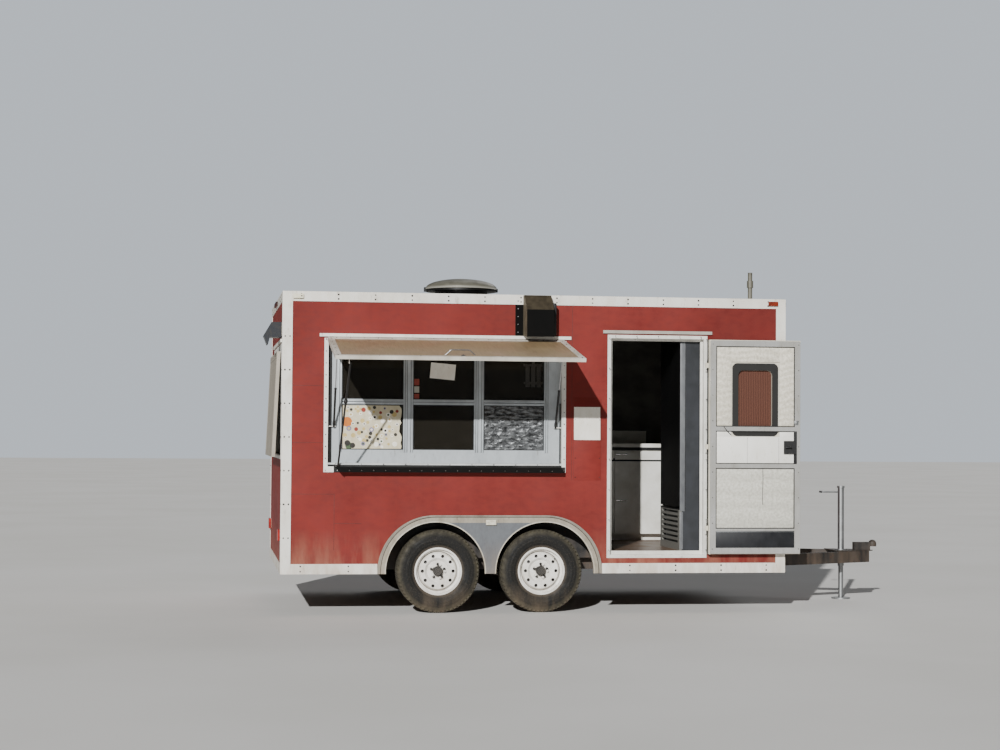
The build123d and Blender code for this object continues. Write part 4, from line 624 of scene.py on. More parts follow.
DISC_DARK = coated_sheet("dark_vinyl_disc", "#25241f", "#302c25", "#4a4234", 0.4, 30)
DISC_STRAW = coated_sheet("straw_vinyl_disc", "#cfb87c", "#bda66a", "#8b7747", 0.4, 30)
DISC_LILAC = coated_sheet("lilac_vinyl_disc", "#8d84a0", "#776e8a", "#4e475c", 0.4, 30)
SEALANT = coated_sheet("aged_seam_sealant", "#5f2620", "#4c201b", "#8a6a55", 0.7, 30)
FOIL = crinkled_foil("crinkled_foil")
PLY = plywood_floor("sealed_plywood_floor")
FLOOR = studio_floor("pale_studio_floor")
LENS = lamp_lens("acrylic_lamp_lens")

FINISHES = {
    RED_SIDE: ["side_wall_curb", "side_wall_road"],
    RED_END: ["front_wall", "rear_wall"],
    TRIM: ["roof_trim", "corner_posts", "base_trim"],
    RAIN_RAIL: ["rain_rails"],
    ARCH: ["arch_trims"],
    FRAME_WHITE: ["door_frame"],
    FLANGE: ["hatch_frames"],
    SASH: ["window_unit"],
    SHELF: ["serving_shelf"],
    DOOR_SILVER: ["screen_door"],
    ROOF_SHEET: ["roof"],
    HATCH_SHEET: ["serving_hatch"],
    REAR_HATCH: ["rear_hatch"],
    CHASSIS: ["chassis_frame", "cross_members", "tongue_rails", "coupler", "axles", "wheel_boxes"],
    RUBBER: ["tyre_" + wheel for wheel in WHEELS],
    WHEEL_WHITE: ["rim_" + wheel for wheel in WHEELS],
    GLASS: ["window_glass"],
    DOOR_GLASS: ["door_glass"],
    BLACK_PLASTIC_AND_SHADOW: ["door_latch"],
    STRUT_BLACK: ["strut_tube_rear", "strut_tube_front", "prop_rod"],
    STRUT_STEEL: ["strut_rod_rear", "strut_rod_front", "hatch_handle"],
    ZINC: ["tongue_jack"],
    CABINET: ["fridge", "base_units"],
    BRONZE: ["side_hood"],
    VENT: ["roof_vents"],
    DOOR_LEAF: ["side_door"],
    LENS: ["lamps"],
    PLY: ["floor"],
}
for material, names in FINISHES.items():
    for name in names:
        NODES[name].data.materials.clear()
        NODES[name].data.materials.append(material)


# Shape kit


def slab(bm, low, high, soft=0.0, finish=0, turn=None):
    """A block between two corners, turned by a matrix, with its edges rounded by soft."""
    verts = bmesh.ops.create_cube(bm, size=1)["verts"]
    for vert in verts:
        corner = Vector([high[i] if vert.co[i] > 0 else low[i] for i in range(3)])
        vert.co = turn @ corner if turn else corner
    faces = dict.fromkeys(face for vert in verts for face in vert.link_faces)
    for face in faces:
        face.material_index = finish
    if soft:
        edges = list(dict.fromkeys(edge for face in faces for edge in face.edges))
        bmesh.ops.bevel(bm, geom=edges, offset=soft, segments=2, profile=0.5, affect="EDGES")


def circle(bm, middle, side, up, radius, sides):
    """New points round a middle, in the plane of two directions."""
    turns = [tau * k / sides for k in range(sides)]
    return [bm.verts.new(middle + (side * cos(turn) + up * sin(turn)) * radius) for turn in turns]


def thin_sheet(bm, columns, rows, corner):
    """A closed thin sheet in squares, where corner gives a point from its column, its row and its side."""
    front, rear = [[[bm.verts.new(corner(i, j, back)) for j in range(rows + 1)] for i in range(columns + 1)]
                   for back in (0, 1)]
    for i in range(columns):
        for j in range(rows):
            for grid in (front, rear):
                bm.faces.new((grid[i][j], grid[i + 1][j], grid[i + 1][j + 1], grid[i][j + 1]))
    rim = ([(i, 0) for i in range(columns)] + [(columns, j) for j in range(rows)]
           + [(i, rows) for i in range(columns, 0, -1)] + [(0, j) for j in range(rows, 0, -1)])
    for (i, j), (k, m) in zip(rim, rim[1:] + rim[:1]):
        bm.faces.new((front[i][j], front[k][m], rear[k][m], rear[i][j]))


def rod(bm, points, radius, sides=12, finish=0):
    """A round bar through points, closed at both ends."""
    points = [Vector(point) for point in points]
    side = (points[1] - points[0]).orthogonal().normalized()
    rings = []
    for i, point in enumerate(points):
        ahead = (points[min(i + 1, len(points) - 1)] - points[max(i - 1, 0)]).normalized()
        side = (side - ahead * side.dot(ahead)).normalized()
        up = ahead.cross(side)
        rings.append(circle(bm, point, side, up, radius, sides))
    for first, second in zip(rings, rings[1:]):
        for k in range(sides):
            following = (k + 1) % sides
            bm.faces.new((first[k], first[following], second[following], second[k])).material_index = finish
    for ring in (rings[0], rings[-1]):
        bm.faces.new(ring).material_index = finish


def lathe(bm, rows, centre, axis, sides=32, ring=False, finish=0):
    """A turned form from rows of (place along the axis, radius); a ring closes back to its first row."""
    axis = Vector(axis).normalized()
    side = axis.orthogonal().normalized()
    up = axis.cross(side)
    loops = []
    for along, radius in rows:
        middle = Vector(centre) + axis * along
        if radius:
            loops.append(circle(bm, middle, side, up, radius, sides))
        else:
            loops.append([bm.verts.new(middle)] * sides)
    for first, second in zip(loops, loops[1:] + loops[:1] if ring else loops[1:]):
        for k in range(sides):
            following = (k + 1) % sides
            corners = list(dict.fromkeys((first[k], first[following], second[following], second[k])))
            bm.faces.new(corners).material_index = finish


def finished(name, mesh, body, crisp=35):
    """Links a mesh as a piece that rides on a body, smooth but for its crisp corners."""
    mesh.polygons.foreach_set("use_smooth", [True] * len(mesh.polygons))
    mesh.set_sharp_from_angle(angle=radians(crisp))
    made = bpy.data.objects.new(name, mesh)
    bpy.context.scene.collection.objects.link(made)
    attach(made, body)
    return made


def piece(name, bm, body, slot_name, *finishes, crisp=35):
    """Turns a drawing in millimetres into a piece with its faces outward."""
    bmesh.ops.recalc_face_normals(bm, faces=bm.faces)
    bmesh.ops.scale(bm, vec=(MM, MM, MM), verts=bm.verts)
    mesh = bpy.data.meshes.new(name)
    bm.to_mesh(mesh)
    bm.free()
    for material in finishes:
        mesh.materials.append(material)
    return finished(name, mesh, body, crisp)


def spaced(start, end, step):
    """Places from start to end, about step apart and even."""
    count = max(round(abs(end - start) / step), 1)
    return [start + (end - start) * k / count for k in range(count + 1)]


# Rules for what repeats


def rule(name, sockets):
    """A geometry tree with named inputs, which takes points and gives a mesh."""
    tree = bpy.data.node_groups.new(name, "GeometryNodeTree")
    tree.interface.new_socket("Points", in_out="INPUT", socket_type="NodeSocketGeometry")
    for label, kind in sockets:
        tree.interface.new_socket(label, in_out="INPUT", socket_type="NodeSocket" + kind)
    tree.interface.new_socket("Mesh", in_out="OUTPUT", socket_type="NodeSocketGeometry")
    return tree, add(tree, "NodeGroupInput").node.outputs


def ends_in(tree, instances, finish):
    """Closes a tree: the instances are made real and get their finish."""
    real = add(tree, "GeometryNodeRealizeInstances", {"Geometry": instances})
    painted = add(tree, "GeometryNodeSetMaterial", {"Geometry": real, "Material": finish})
    add(tree, "NodeGroupOutput", {"Mesh": painted})


def screw_rule():
    """Domed screw heads on points, facing one way, each turned and sized a little differently."""
    sizes = (("Radius", "Float"), ("Height", "Float"), ("Seed", "Int"))
    tree, given = rule("screw_heads", (("Facing", "Vector"), *sizes, ("Finish", "Material")))
    crown = add(tree, "ShaderNodeMath", {0: given["Radius"], 1: 0.55}, operation="MULTIPLY")
    cone = {"Vertices": 8, "Radius Top": crown, "Radius Bottom": given["Radius"], "Depth": given["Height"]}
    head = add(tree, "GeometryNodeMeshCone", cone, "Mesh")
    seated = add(tree, "GeometryNodeMeshToPoints", {"Mesh": given["Points"]})
    angle = add(tree, "FunctionNodeRandomValue", {2: 0.0, 3: tau, "Seed": given["Seed"]}, 1)
    size = add(tree, "FunctionNodeRandomValue", {2: 0.85, 3: 1.2, "Seed": given["Seed"]}, 1)
    spin = add(tree, "FunctionNodeAxisAngleToRotation", {"Axis": (0, 0, 1), "Angle": angle})
    facing = {"Rotation": spin, "Vector": given["Facing"]}
    pose = add(tree, "FunctionNodeAlignRotationToVector", facing, axis="Z")
    placed = {"Points": seated, "Instance": head, "Rotation": pose, "Scale": size}
    ends_in(tree, add(tree, "GeometryNodeInstanceOnPoints", placed), given["Finish"])
    return tree


def tread_rule():
    """Tread blocks on points, each with its top away from the wheel's axis."""
    tree, given = rule("tread_blocks", (("Centre", "Vector"), ("Block", "Vector"), ("Finish", "Material")))
    tread_block = add(tree, "GeometryNodeMeshCube", {"Size": given["Block"]}, "Mesh")
    seated = add(tree, "GeometryNodeMeshToPoints", {"Mesh": given["Points"]})
    here = add(tree, "GeometryNodeInputPosition")
    away = add(tree, "ShaderNodeVectorMath", {0: here, 1: given["Centre"]}, operation="SUBTRACT")
    flat = add(tree, "ShaderNodeVectorMath", {0: away, 1: (1, 0, 1)}, operation="MULTIPLY")
    pose = add(tree, "FunctionNodeAlignRotationToVector", {"Vector": flat}, axis="Z", pivot_axis="Y")
    placed = {"Points": seated, "Instance": tread_block, "Rotation": pose}
    ends_in(tree, add(tree, "GeometryNodeInstanceOnPoints", placed), given["Finish"])
    return tree


def grow(name, tree, points, inputs):
    """Runs a rule on points in millimetres and gives its result as a plain mesh in metres."""
    seeds = bpy.data.meshes.new(name + "_points")
    seeds.from_pydata([Vector(point) * MM for point in points], [], [])
    source = bpy.data.objects.new(name + "_points", seeds)
    bpy.context.scene.collection.objects.link(source)
    modifier = source.modifiers.new("rule", "NODES")
    modifier.node_group = tree
    for item in tree.interface.items_tree:
        if item.name in inputs and item.in_out == "INPUT":
            modifier[item.identifier] = inputs[item.name]
    graph = bpy.context.evaluated_depsgraph_get()
    mesh = bpy.data.meshes.new_from_object(source.evaluated_get(graph))
    bpy.data.objects.remove(source)
    return mesh


SCREWS = screw_rule()
TREAD = tread_rule()
RAIL_HEAD = (7, 3)
PATCH_HEAD = (4.5, 2.5)


def screws(name, body, slot_name, points, facing, finish, radius, height, seed):
    """Screw heads as one piece, with their radius and height in millimetres and their own seed."""
    size = {"Radius": radius * MM, "Height": height * MM}
    inputs = {"Facing": tuple(facing), **size, "Seed": seed, "Finish": finish}
    finished(name, grow(name, SCREWS, points, inputs), body)


# Screws and lap seams of the body


# A curb lap's place and two ends: upright ones by X and heights, flat ones by their ends along X and height
CURB_UPRIGHT_LAPS = ((REAR + 2407, GROUND + 1100, GROUND + 2552), (REAR + 432, SKIRT_HIGH, GROUND + 980))
CURB_FLAT_LAPS = (
    (REAR + POST_WIDE, REAR + 330, GROUND + 1868),
    (REAR + POST_WIDE, REAR + 330, GROUND + 1402),
    (REAR + 432, REAR + 657, GROUND + 740),
    (REAR + POST_WIDE, REAR + 432, GROUND + 980),
)
ROAD_LAPS = (REAR + 1220, REAR + 2440, REAR + 3660)
PATCH_LOW = Vector((REAR + 2424, -SIDE - 1.6, GROUND + 1100))
PATCH_HIGH = Vector((REAR + 2657, -SIDE + 1, GROUND + 1790))
NOTICE_X = (REAR + 2425, REAR + 2648)
NOTICE_Z = (GROUND + 1437, GROUND + 1712)


def body_screws():
    """Pairs along the roof rail, the skirt's two sides and the corner posts, and the marker lamp's stud."""
    inset = 20
    post_rows = [z for z in (RAIL_LOW - 289 - 275 * k for k in range(9)) if z > SKIRT_HIGH + 40]
    rail_rows = (RAIL_LOW + 22, RAIL_LOW + 58)
    foot_rows = (SKIRT_LOW + 22, SKIRT_LOW + 64)
    post_x = (REAR + inset, REAR + POST_WIDE - inset, FRONT - POST_WIDE + inset, FRONT - inset)
    post_y = (-SIDE + inset, -SIDE + POST_WIDE - inset, SIDE - POST_WIDE + inset, SIDE - inset)
    arch_start, arch_end = LOW["arch_trims"].x, HIGH["arch_trims"].x
    for side, sign in (("curb", -1), ("road", 1)):
        y = sign * TRIM_Y
        rail = [(x, y, z) for x in spaced(REAR + 150, FRONT - 150, 305) for z in rail_rows]
        foot = [(x, y, z) for x in spaced(REAR + 160, FRONT - 160, 406) for z in foot_rows
                if side == "road" or not arch_start < x < arch_end]
        posts = [(x, y, z) for z in post_rows for x in post_x]
        heads = rail + foot + posts
        screws(f"body_screws_{side}", "trailer", "trim", heads, (0, sign, 0), SCREW_DARK, *RAIL_HEAD, 3)
    stud = (REAR + 151, -TRIM_Y - 18, (RAIL_LOW + RAIL_HIGH) / 2)
    screws("marker_stud", "trailer", "lens", [stud], CURB_WAY, SCREW_DARK, *RAIL_HEAD, 2)
    reach = SIDE - 150
    for end, x, sign in (("rear", REAR - TRIM_PROUD, -1), ("front", FRONT + TRIM_PROUD, 1)):
        rail = [(x, y, z) for y in spaced(-reach, reach, 305) for z in rail_rows]
        posts = [(x, y, z) for z in post_rows for y in post_y]
        screws(f"body_screws_{end}", "trailer", "trim", rail + posts, (sign, 0, 0), SCREW_DARK, *RAIL_HEAD, 4)


def lap_seams():
    """Dark sealed laps between the skin's sheets; the curb side's follow its patched sheets."""
    seam = 3.5
    proud = 0.8
    curb = -SIDE
    bm = bmesh.new()
    for x, z0, z1 in CURB_UPRIGHT_LAPS:
        slab(bm, (x - seam / 2, curb - proud, z0), (x + seam / 2, curb + 1, z1), 0.3)
    for x0, x1, z in CURB_FLAT_LAPS:
        slab(bm, (x0, curb - proud, z - seam / 2), (x1, curb + 1, z + seam / 2), 0.3)
    for x in ROAD_LAPS:
        slab(bm, (x - seam / 2, SIDE - 1, GROUND + 850), (x + seam / 2, SIDE + proud, RAIL_LOW), 0.3)
    piece("lap_seams", bm, "trailer", "painted_skin", SEALANT)


def patch_and_notice():
    """A newer red sheet screwed over the skin between window and door, with a blank notice curling off it."""
    bm = bmesh.new()
    slab(bm, PATCH_LOW, PATCH_HIGH, 0.5)
    piece("patch_panel", bm, "trailer", "painted_skin", RED_SIDE)
    sealant = 3
    bm = bmesh.new()
    for x in (PATCH_LOW.x - sealant / 2, PATCH_HIGH.x - sealant / 2):
        slab(bm, (x, -SIDE - 1.2, PATCH_LOW.z), (x + sealant, -SIDE + 1, PATCH_HIGH.z), 0.3)
    piece("patch_sealant", bm, "trailer", "painted_skin", SEALANT)
    rows = spaced(PATCH_LOW.z + 25, PATCH_HIGH.z - 25, 160)
    edge = [(x, -SIDE - 2, z) for x in (PATCH_LOW.x + 14, PATCH_HIGH.x - 14) for z in rows]
    screws("patch_screws", "trailer", "painted_skin", edge, CURB_WAY, SCREW_DARK, *PATCH_HEAD, 6)
    steps, lift, ripple, thick = 8, 9, 1.2, 0.8
    (x0, x1), (z0, z1) = NOTICE_X, NOTICE_Z
    y = -SIDE - 2.5

    def curled(i, j, back):
        """A point of the notice, which lifts off the wall towards its lower corners."""
        across, up = i / steps, j / steps
        rise = lift * (1 - up) ** 2 * (2 * across - 1) ** 2 + ripple * sin(5 * across + 3 * up)
        return x0 + (x1 - x0) * across, y - abs(rise) + back * thick, z0 + (z1 - z0) * up

    bm = bmesh.new()
    thin_sheet(bm, steps, steps, curled)
    piece("blank_notice", bm, "trailer", "painted_skin", PAPER, crisp=60)


# Serving window


BAY_STARTS = (-4953.0, -4363.0, -3773.0)
BAY_WIDE = 508.0
PANE_LOW = (846.0, 1219.0)
PANE_HIGH = (1263.0, 1665.0)
GLASS_FRONT = LOW["window_glass"].y
GLASS_BACK = HIGH["window_glass"].y
FLANGE_Y = -1230.0
FLANGE_X = (-5104.0, -3089.0)
FLANGE_Z = (660.0, 1761.0)
UNIT_Y = -1175.0
UNIT_FOOT = 738.0
REAR_SEAL = (-5069.0, -5037.0, 1735.0)
FRONT_SEAL = (-3136.0, -3124.0, 1240.0)
MEETING_RAILS = (1228.0, 1247.0)
MEETING_GAP = (1239.0, 1242.0)
HEAD_STRIP_X = (-5080.0, -3110.0)
HEAD_STRIP_Z = (1749.0, 1758.0)
SHELF_SCREWS_X = (-4990.0, -3180.0)


def window_fittings():
    """Screws of the flange and the shelf, rubber seals, a strip under the head, sash rails, and black strips:
    painted shade in the grooves, and the gap between the meeting rails.
    """
    left, right = FLANGE_X[0] + 15, FLANGE_X[1] - 15
    foot, head = FLANGE_Z[0] + 16, FLANGE_Z[1] - 10
    ring = [(x, FLANGE_Y, z) for x in (left, right) for z in spaced(foot, head, 100)]
    screws("window_flange_screws", "trailer", "trim", ring, CURB_WAY, SCREW_DARK, *PATCH_HEAD, 8)
    low_row = [(x, FLANGE_Y, foot) for x in spaced(left, right, 100)]
    screws("window_foot_screws", "trailer", "trim", low_row, CURB_WAY, SCREW_BRIGHT, *PATCH_HEAD, 10)
    front = [(x, SHELF_LOW.y, SHELF_HIGH.z - 7) for x in spaced(*SHELF_SCREWS_X, 175)]
    screws("shelf_screws", "trailer", "trim", front, CURB_WAY, SCREW_DARK, *PATCH_HEAD, 9)
    bead = 7
    seal_out, seal_in = GLASS_FRONT - 6, GLASS_FRONT - 0.4
    bm = bmesh.new()
    for x0, x1, z1 in (REAR_SEAL, FRONT_SEAL):
        slab(bm, (x0, UNIT_Y - 6, UNIT_FOOT), (x1, UNIT_Y - 0.4, z1), 2)
    for start in BAY_STARTS:
        for z0, z1 in (PANE_LOW, PANE_HIGH):
            for x in (start, start + BAY_WIDE - bead):
                slab(bm, (x, seal_out, z0), (x + bead, seal_in, z1), 1)
            for z in (z0, z1 - bead):
                slab(bm, (start, seal_out, z), (start + BAY_WIDE, seal_in, z + bead), 1)
    piece("window_seals", bm, "trailer", "black_plastic", BLACK_SEAL_AND_GAP_SHADE)
    rail_low, rail_high = PANE_LOW[0] - 20, PANE_HIGH[1] + 20
    bm = bmesh.new()
    (x0, x1), (z0, z1) = HEAD_STRIP_X, HEAD_STRIP_Z
    slab(bm, (x0, FLANGE_Y - 1.8, z0), (x1, FLANGE_Y + 0.2, z1), 0.4)
    for start in BAY_STARTS:
        for z in MEETING_RAILS:
            slab(bm, (start + 6, UNIT_Y - 9, z), (start + BAY_WIDE - 6, UNIT_Y - 0.2, z + 6), 1)
        for x in (start - 30, start - 12, start + BAY_WIDE + 4, start + BAY_WIDE + 22):
            slab(bm, (x, UNIT_Y - 8, rail_low), (x + 8, UNIT_Y - 0.2, rail_high), 1.5)
    piece("sash_rails", bm, "trailer", "trim", SASH)
    # Black strips: painted shade in the mullions' grooves, and the gap between the meeting rails.
    bm = bmesh.new()
    for start in BAY_STARTS:
        for x in (start - 21, start - 4, start + BAY_WIDE + 13, start + BAY_WIDE + 31):
            slab(bm, (x, UNIT_Y - 1.2, rail_low), (x + 3, UNIT_Y + 0.5, rail_high), 0.3)
        slab(bm, (start, UNIT_Y - 1.2, MEETING_GAP[0]), (start + BAY_WIDE, UNIT_Y + 0.5, MEETING_GAP[1]), 0.3)
    piece("sash_groove_shade", bm, "trailer", "trim", BLACK_SEAL_AND_GAP_SHADE)


def sticker_sheet():
    """A cream sheet on the lower left pane, with generic coloured discs, torn at its right edge."""
    x0, x1 = BAY_STARTS[0] + 8, BAY_STARTS[0] + BAY_WIDE - 10
    z0, z1 = PANE_LOW[0] + 8, PANE_LOW[1] - 8
    y = GLASS_FRONT - 0.6
    bm = bmesh.new()
    random.seed(4)
    torn = [(x1 - random.uniform(0, 26), z) for z in spaced(z0, z1, 24)]
    outline = [(x0, z1), (x0, z0)] + torn
    front = [bm.verts.new((x, y - 0.6, z)) for x, z in outline]
    back = [bm.verts.new((x, y, z)) for x, z in outline]
    bm.faces.new(front)
    bm.faces.new(back)
    for k in range(len(outline)):
        following = (k + 1) % len(outline)
        bm.faces.new((front[k], front[following], back[following], back[k]))
    orange, red, green, dark, white, straw, lilac = range(1, 8)
    common = (dark, white, white, white, straw, straw, red, lilac)
    discs = [(-4909, 1074, 41, orange), (-4893, 878, 30, green)]
    discs += [(-4905, 900, 24, dark), (-4862, 880, 22, dark)]
    disc_count, least_gap = 75, 0.8
    while len(discs) < disc_count:
        x, z = random.uniform(x0 + 16, x1 - 40), random.uniform(z0 + 14, z1 - 14)
        radius = random.uniform(8, 21)
        if all((x - a) ** 2 + (z - b) ** 2 > (least_gap * (radius + c)) ** 2 for a, b, c, _ in discs):
            discs.append((x, z, radius, random.choice(common)))
    for k, (x, z, radius, finish) in enumerate(discs):
        lift = 0.6 + 0.01 * k
        middle = (x, y - 0.6, z)
        lathe(bm, [(0, 0), (0, radius), (lift, radius), (lift, 0)], middle, CURB_WAY, 20, finish=finish)
        if finish in (white, lilac):
            lift += 0.3
            small = [(0, 0), (0, radius * 0.5), (lift, radius * 0.5), (lift, 0)]
            lathe(bm, small, middle, CURB_WAY, 16, finish=(green, dark, white, straw)[k % 4])
    disc_finishes = (DISC_ORANGE, DISC_RED, DISC_GREEN, DISC_DARK, PAPER, DISC_STRAW, DISC_LILAC)
    piece("sticker_sheet", bm, "trailer", "glass", CREAM_VINYL, *disc_finishes)


def foil_sheet():
    """Crushed foil that fills the lower right pane, flat at its edges."""
    random.seed(7)
    margin, thick, crush = 3, 4.0, 3.0
    x0, x1 = BAY_STARTS[2] + margin, BAY_STARTS[2] + BAY_WIDE - margin
    z0, z1 = PANE_LOW[0] + margin, PANE_LOW[1] - margin
    y = GLASS_FRONT - 4.5
    columns, rows = 22, 16
    folds = [[random.uniform(-1, 1) for _ in range(rows + 1)] for _ in range(columns + 1)]

    def crushed(i, j, back):
        """A point of the foil."""
        edge = i in (0, columns) or j in (0, rows)
        rise = thick if back else (0 if edge else crush * folds[i][j])
        return x0 + (x1 - x0) * i / columns, y + rise, z0 + (z1 - z0) * j / rows

    bm = bmesh.new()
    thin_sheet(bm, columns, rows, crushed)
    piece("foil_sheet", bm, "trailer", "glass", FOIL, crisp=20)


def window_papers():
    """A tilted blank paper and a strip of three small squares on the upper middle pane."""
    y = GLASS_FRONT - 1
    bm = bmesh.new()
    middle = Vector((REAR + 1327, y, GROUND + 1998))
    tilt = Matrix.Translation(middle) @ Matrix.Rotation(radians(5), 4, "Y") @ Matrix.Translation(-middle)
    slab(bm, (middle.x - 104, y - 0.7, middle.z - 65), (middle.x + 104, y, middle.z + 65), 0, 0, tilt)
    for k, finish in enumerate((1, 2, 1)):
        top = GROUND + 1933 - k * 62
        slab(bm, (REAR + 1084, y - 0.7, top - 52), (REAR + 1131, y, top), 0, finish)
    piece("window_papers", bm, "trailer", "glass", PAPER, DISC_RED, VENT)


def inside_slats():
    """Pale slats that hang by a strap from a beam and show dimly through the upper panes."""
    y = GLASS_BACK + 60
    wall = -INNER_Y
    left, right = REAR + 2020, REAR + 2180
    bm = bmesh.new()
    for k in range(3):
        x = REAR + 2034 + k * 48
        slab(bm, (x, y, GROUND + 1876), (x + 35, y + 12, GROUND + 2056), 2)
    slab(bm, (left, y + 12, GROUND + 1900), (right, y + 20, GROUND + 1920), 2)
    slab(bm, (left, y + 12, GROUND + 2050), (right, wall + 100, GROUND + 2070), 2)
    slab(bm, (left, wall + 0.5, GROUND + 2272), (right, wall + 100, GROUND + 2286), 2)
    slab(bm, (REAR + 2090, wall + 60, GROUND + 2060), (REAR + 2110, wall + 80, GROUND + 2280), 2)
    piece("hanging_slats", bm, "trailer", "trim", SLIDER)


# Serving hatch, struts and prop


def on_hatch(x, fall, out):
    """A point of the open hatch, by its distance from the hinge and from the hinge's plane."""
    return Vector((x, HATCH_PIN.y, HATCH_PIN.z)) + HATCH_DOWN * fall + HATCH_OUT * out


def hatch_fittings():
    """Screws round the serving hatch's edging, and a small lock near its free edge."""
    face = HATCH_THICK + 2
    inset = 24
    x0, x1 = LOW["serving_hatch"].x, HIGH["serving_hatch"].x
    heads = [on_hatch(x, fall, face) for x in (x0 + inset, x1 - inset) for fall in spaced(70, 940, 170)]
    heads += [on_hatch(x, HATCH_LONG - inset, face) for x in spaced(x0 + inset, x1 - inset, 320)]
    heads += [on_hatch(x, 42, face) for x in spaced(x0 + 70, x1 - 70, 115)]
    screws("hatch_screws", "serving_hatch", "hatch_sheet", heads, HATCH_OUT, SCREW_DARK, 5, 2.5, 12)
    foot = on_hatch((x0 + x1) / 2 + 20, HATCH_LONG - 75, face - 2.5)
    bm = bmesh.new()
    lathe(bm, [(0, 0), (0, 17), (3, 17), (5, 14), (5, 7), (9, 6), (9, 0)], foot, HATCH_OUT, 20)
    piece("hatch_lock", bm, "serving_hatch", "black_plastic", STRUT_BLACK)


STRUT_WAY = Vector((0, -0.4745381, 0.880235))
GLAND_AT = 340.0
SOCKET_AT = 14.0
PROP_TIP = Vector((-4958, -2147.6, 1529.2))
PROP_CLIP_NEAR = Vector((-4972, -1876, 1230))


def strut_collars():
    """A rolled collar at each strut's gland, and a plastic socket at its foot."""
    gland = [(0, 4.4), (0, 10.4), (3, 11), (10, 11), (13, 10), (13, 4.4)]
    socket = [(0, 9.1), (2, 12), (30, 12), (34, 10.4), (34, 9.1)]
    for end in ("rear", "front"):
        foot = PINS[f"strut_pin_{end}"]
        bm = bmesh.new()
        for rows, along in ((gland, GLAND_AT), (socket, SOCKET_AT)):
            lathe(bm, rows, foot + STRUT_WAY * along, STRUT_WAY, 20, ring=True)
        piece(f"strut_collars_{end}", bm, f"strut_tube_{end}", "strut_tube", STRUT_BLACK)


def prop_clip():
    """A black clamp round the prop rod, with its knob at one side."""
    foot = PINS["prop_pin"]
    way = (PROP_TIP - foot).normalized()
    middle = foot + way * (PROP_CLIP_NEAR - foot).dot(way)
    bm = bmesh.new()
    lathe(bm, [(-16, 8.2), (-16, 14), (-12, 15), (12, 15), (16, 14), (16, 8.2)], middle, way, 20, ring=True)
    slab(bm, middle + Vector((-5, -24, -9)), middle + Vector((5, -12, 9)), 2)
    piece("prop_clip", bm, "prop_rod", "strut_tube", STRUT_BLACK)


# Doors


FIELD_X = (-1822.0, -1138.0)
LOW_FIELD = (201.0, 709.0)
SLIDER_FIELD = (745.0, 1021.0)
HIGH_FIELD = (1058.0, 1733.0)
SCREEN_Y = LOW["screen_door"].y
CLOTH_Y = SCREEN_Y + 6
HOLE_X = (-1690.0, -1270.0)
HOLE_TOP = 1603.0
SLIDER_JOINTS = (-1549.8, -1275.76)
SLIDER_FACE, SLIDER_BACK = -1300.5, -1298.5
SLIDER_FOOT, SLIDER_STEP, SLIDER_TOP = 752.0, 973.0, 1014.0
KICK_FOOT, KICK_TOP = 40.0, 181.0
STRING_X = -1414.5
CATCH = Vector((-1124.5, SCREEN_Y, 1092.5))
LEVER = Vector((-1180, LOW["door_latch"].y, 885))


def screen_cloth():
    """Screen cloth in the screen door's upper field, open round the window ring, and in its lower field."""
    x0, x1 = FIELD_X[0] + 1, FIELD_X[1] - 1
    low, high = HIGH_FIELD
    bm = bmesh.new()
    for start, end, foot in ((x0, HOLE_X[0], low), (HOLE_X[1], x1, low), (*HOLE_X, HOLE_TOP)):
        slab(bm, (start, CLOTH_Y, foot), (end, CLOTH_Y + 4, high), 0.5)
    piece("screen_cloth_upper", bm, "side_door", "door_skin", SCREEN_HIGH)
    bm = bmesh.new()
    slab(bm, (x0, CLOTH_Y, LOW_FIELD[0]), (x1, CLOTH_Y + 4, LOW_FIELD[1]), 0.5)
    piece("screen_cloth_lower", bm, "side_door", "door_skin", SCREEN_LOW)


def door_gaskets():
    """The spline round each field, the gap beside the slider, and the slider's two joints."""
    gasket = 7
    x0, x1 = FIELD_X[0] + 1, FIELD_X[1] - 1
    bm = bmesh.new()
    for z0, z1 in (LOW_FIELD, SLIDER_FIELD, HIGH_FIELD):
        for x in (x0, x1 - gasket):
            slab(bm, (x, CLOTH_Y - 4, z0), (x + gasket, CLOTH_Y + 1, z1), 1.5)
        for z in (z0, z1 - gasket):
            slab(bm, (x0, CLOTH_Y - 4, z), (x1, CLOTH_Y + 1, z + gasket), 1.5)
    beside, (z0, z1) = FIELD_X[1] - 2, SLIDER_FIELD
    slab(bm, (beside, SCREEN_Y - 0.8, z0), (beside + 21, SCREEN_Y + 2, z1), 0.3)
    for x in SLIDER_JOINTS:
        slab(bm, (x - 1, SLIDER_FACE - 0.4, SLIDER_FOOT), (x + 1, SLIDER_FACE + 1.5, SLIDER_STEP - 7), 0.2)
    piece("door_gaskets", bm, "side_door", "black_plastic", BLACK_SEAL_AND_GAP_SHADE)


def door_panels():
    """The slider, which stands up beside the window ring, and the slate kick panel."""
    x0, x1 = FIELD_X[0] + 8, FIELD_X[1] - 8
    bm = bmesh.new()
    slab(bm, (x0, SLIDER_FACE, SLIDER_FOOT), (x1, SLIDER_BACK, SLIDER_STEP), 0.5)
    for start, end in ((x0, RING_LOW.x - 8), (RING_HIGH.x + 8, x1)):
        slab(bm, (start, SLIDER_FACE, SLIDER_STEP), (end, SLIDER_BACK, SLIDER_TOP), 0.5)
    piece("slider_panel", bm, "side_door", "door_skin", SLIDER)
    bm = bmesh.new()
    slab(bm, (FIELD_X[0] + 1, SLIDER_BACK, KICK_FOOT), (FIELD_X[1] - 1, SLIDER_BACK + 2.5, KICK_TOP), 0.5)
    piece("kick_panel", bm, "side_door", "door_skin", SLATE)


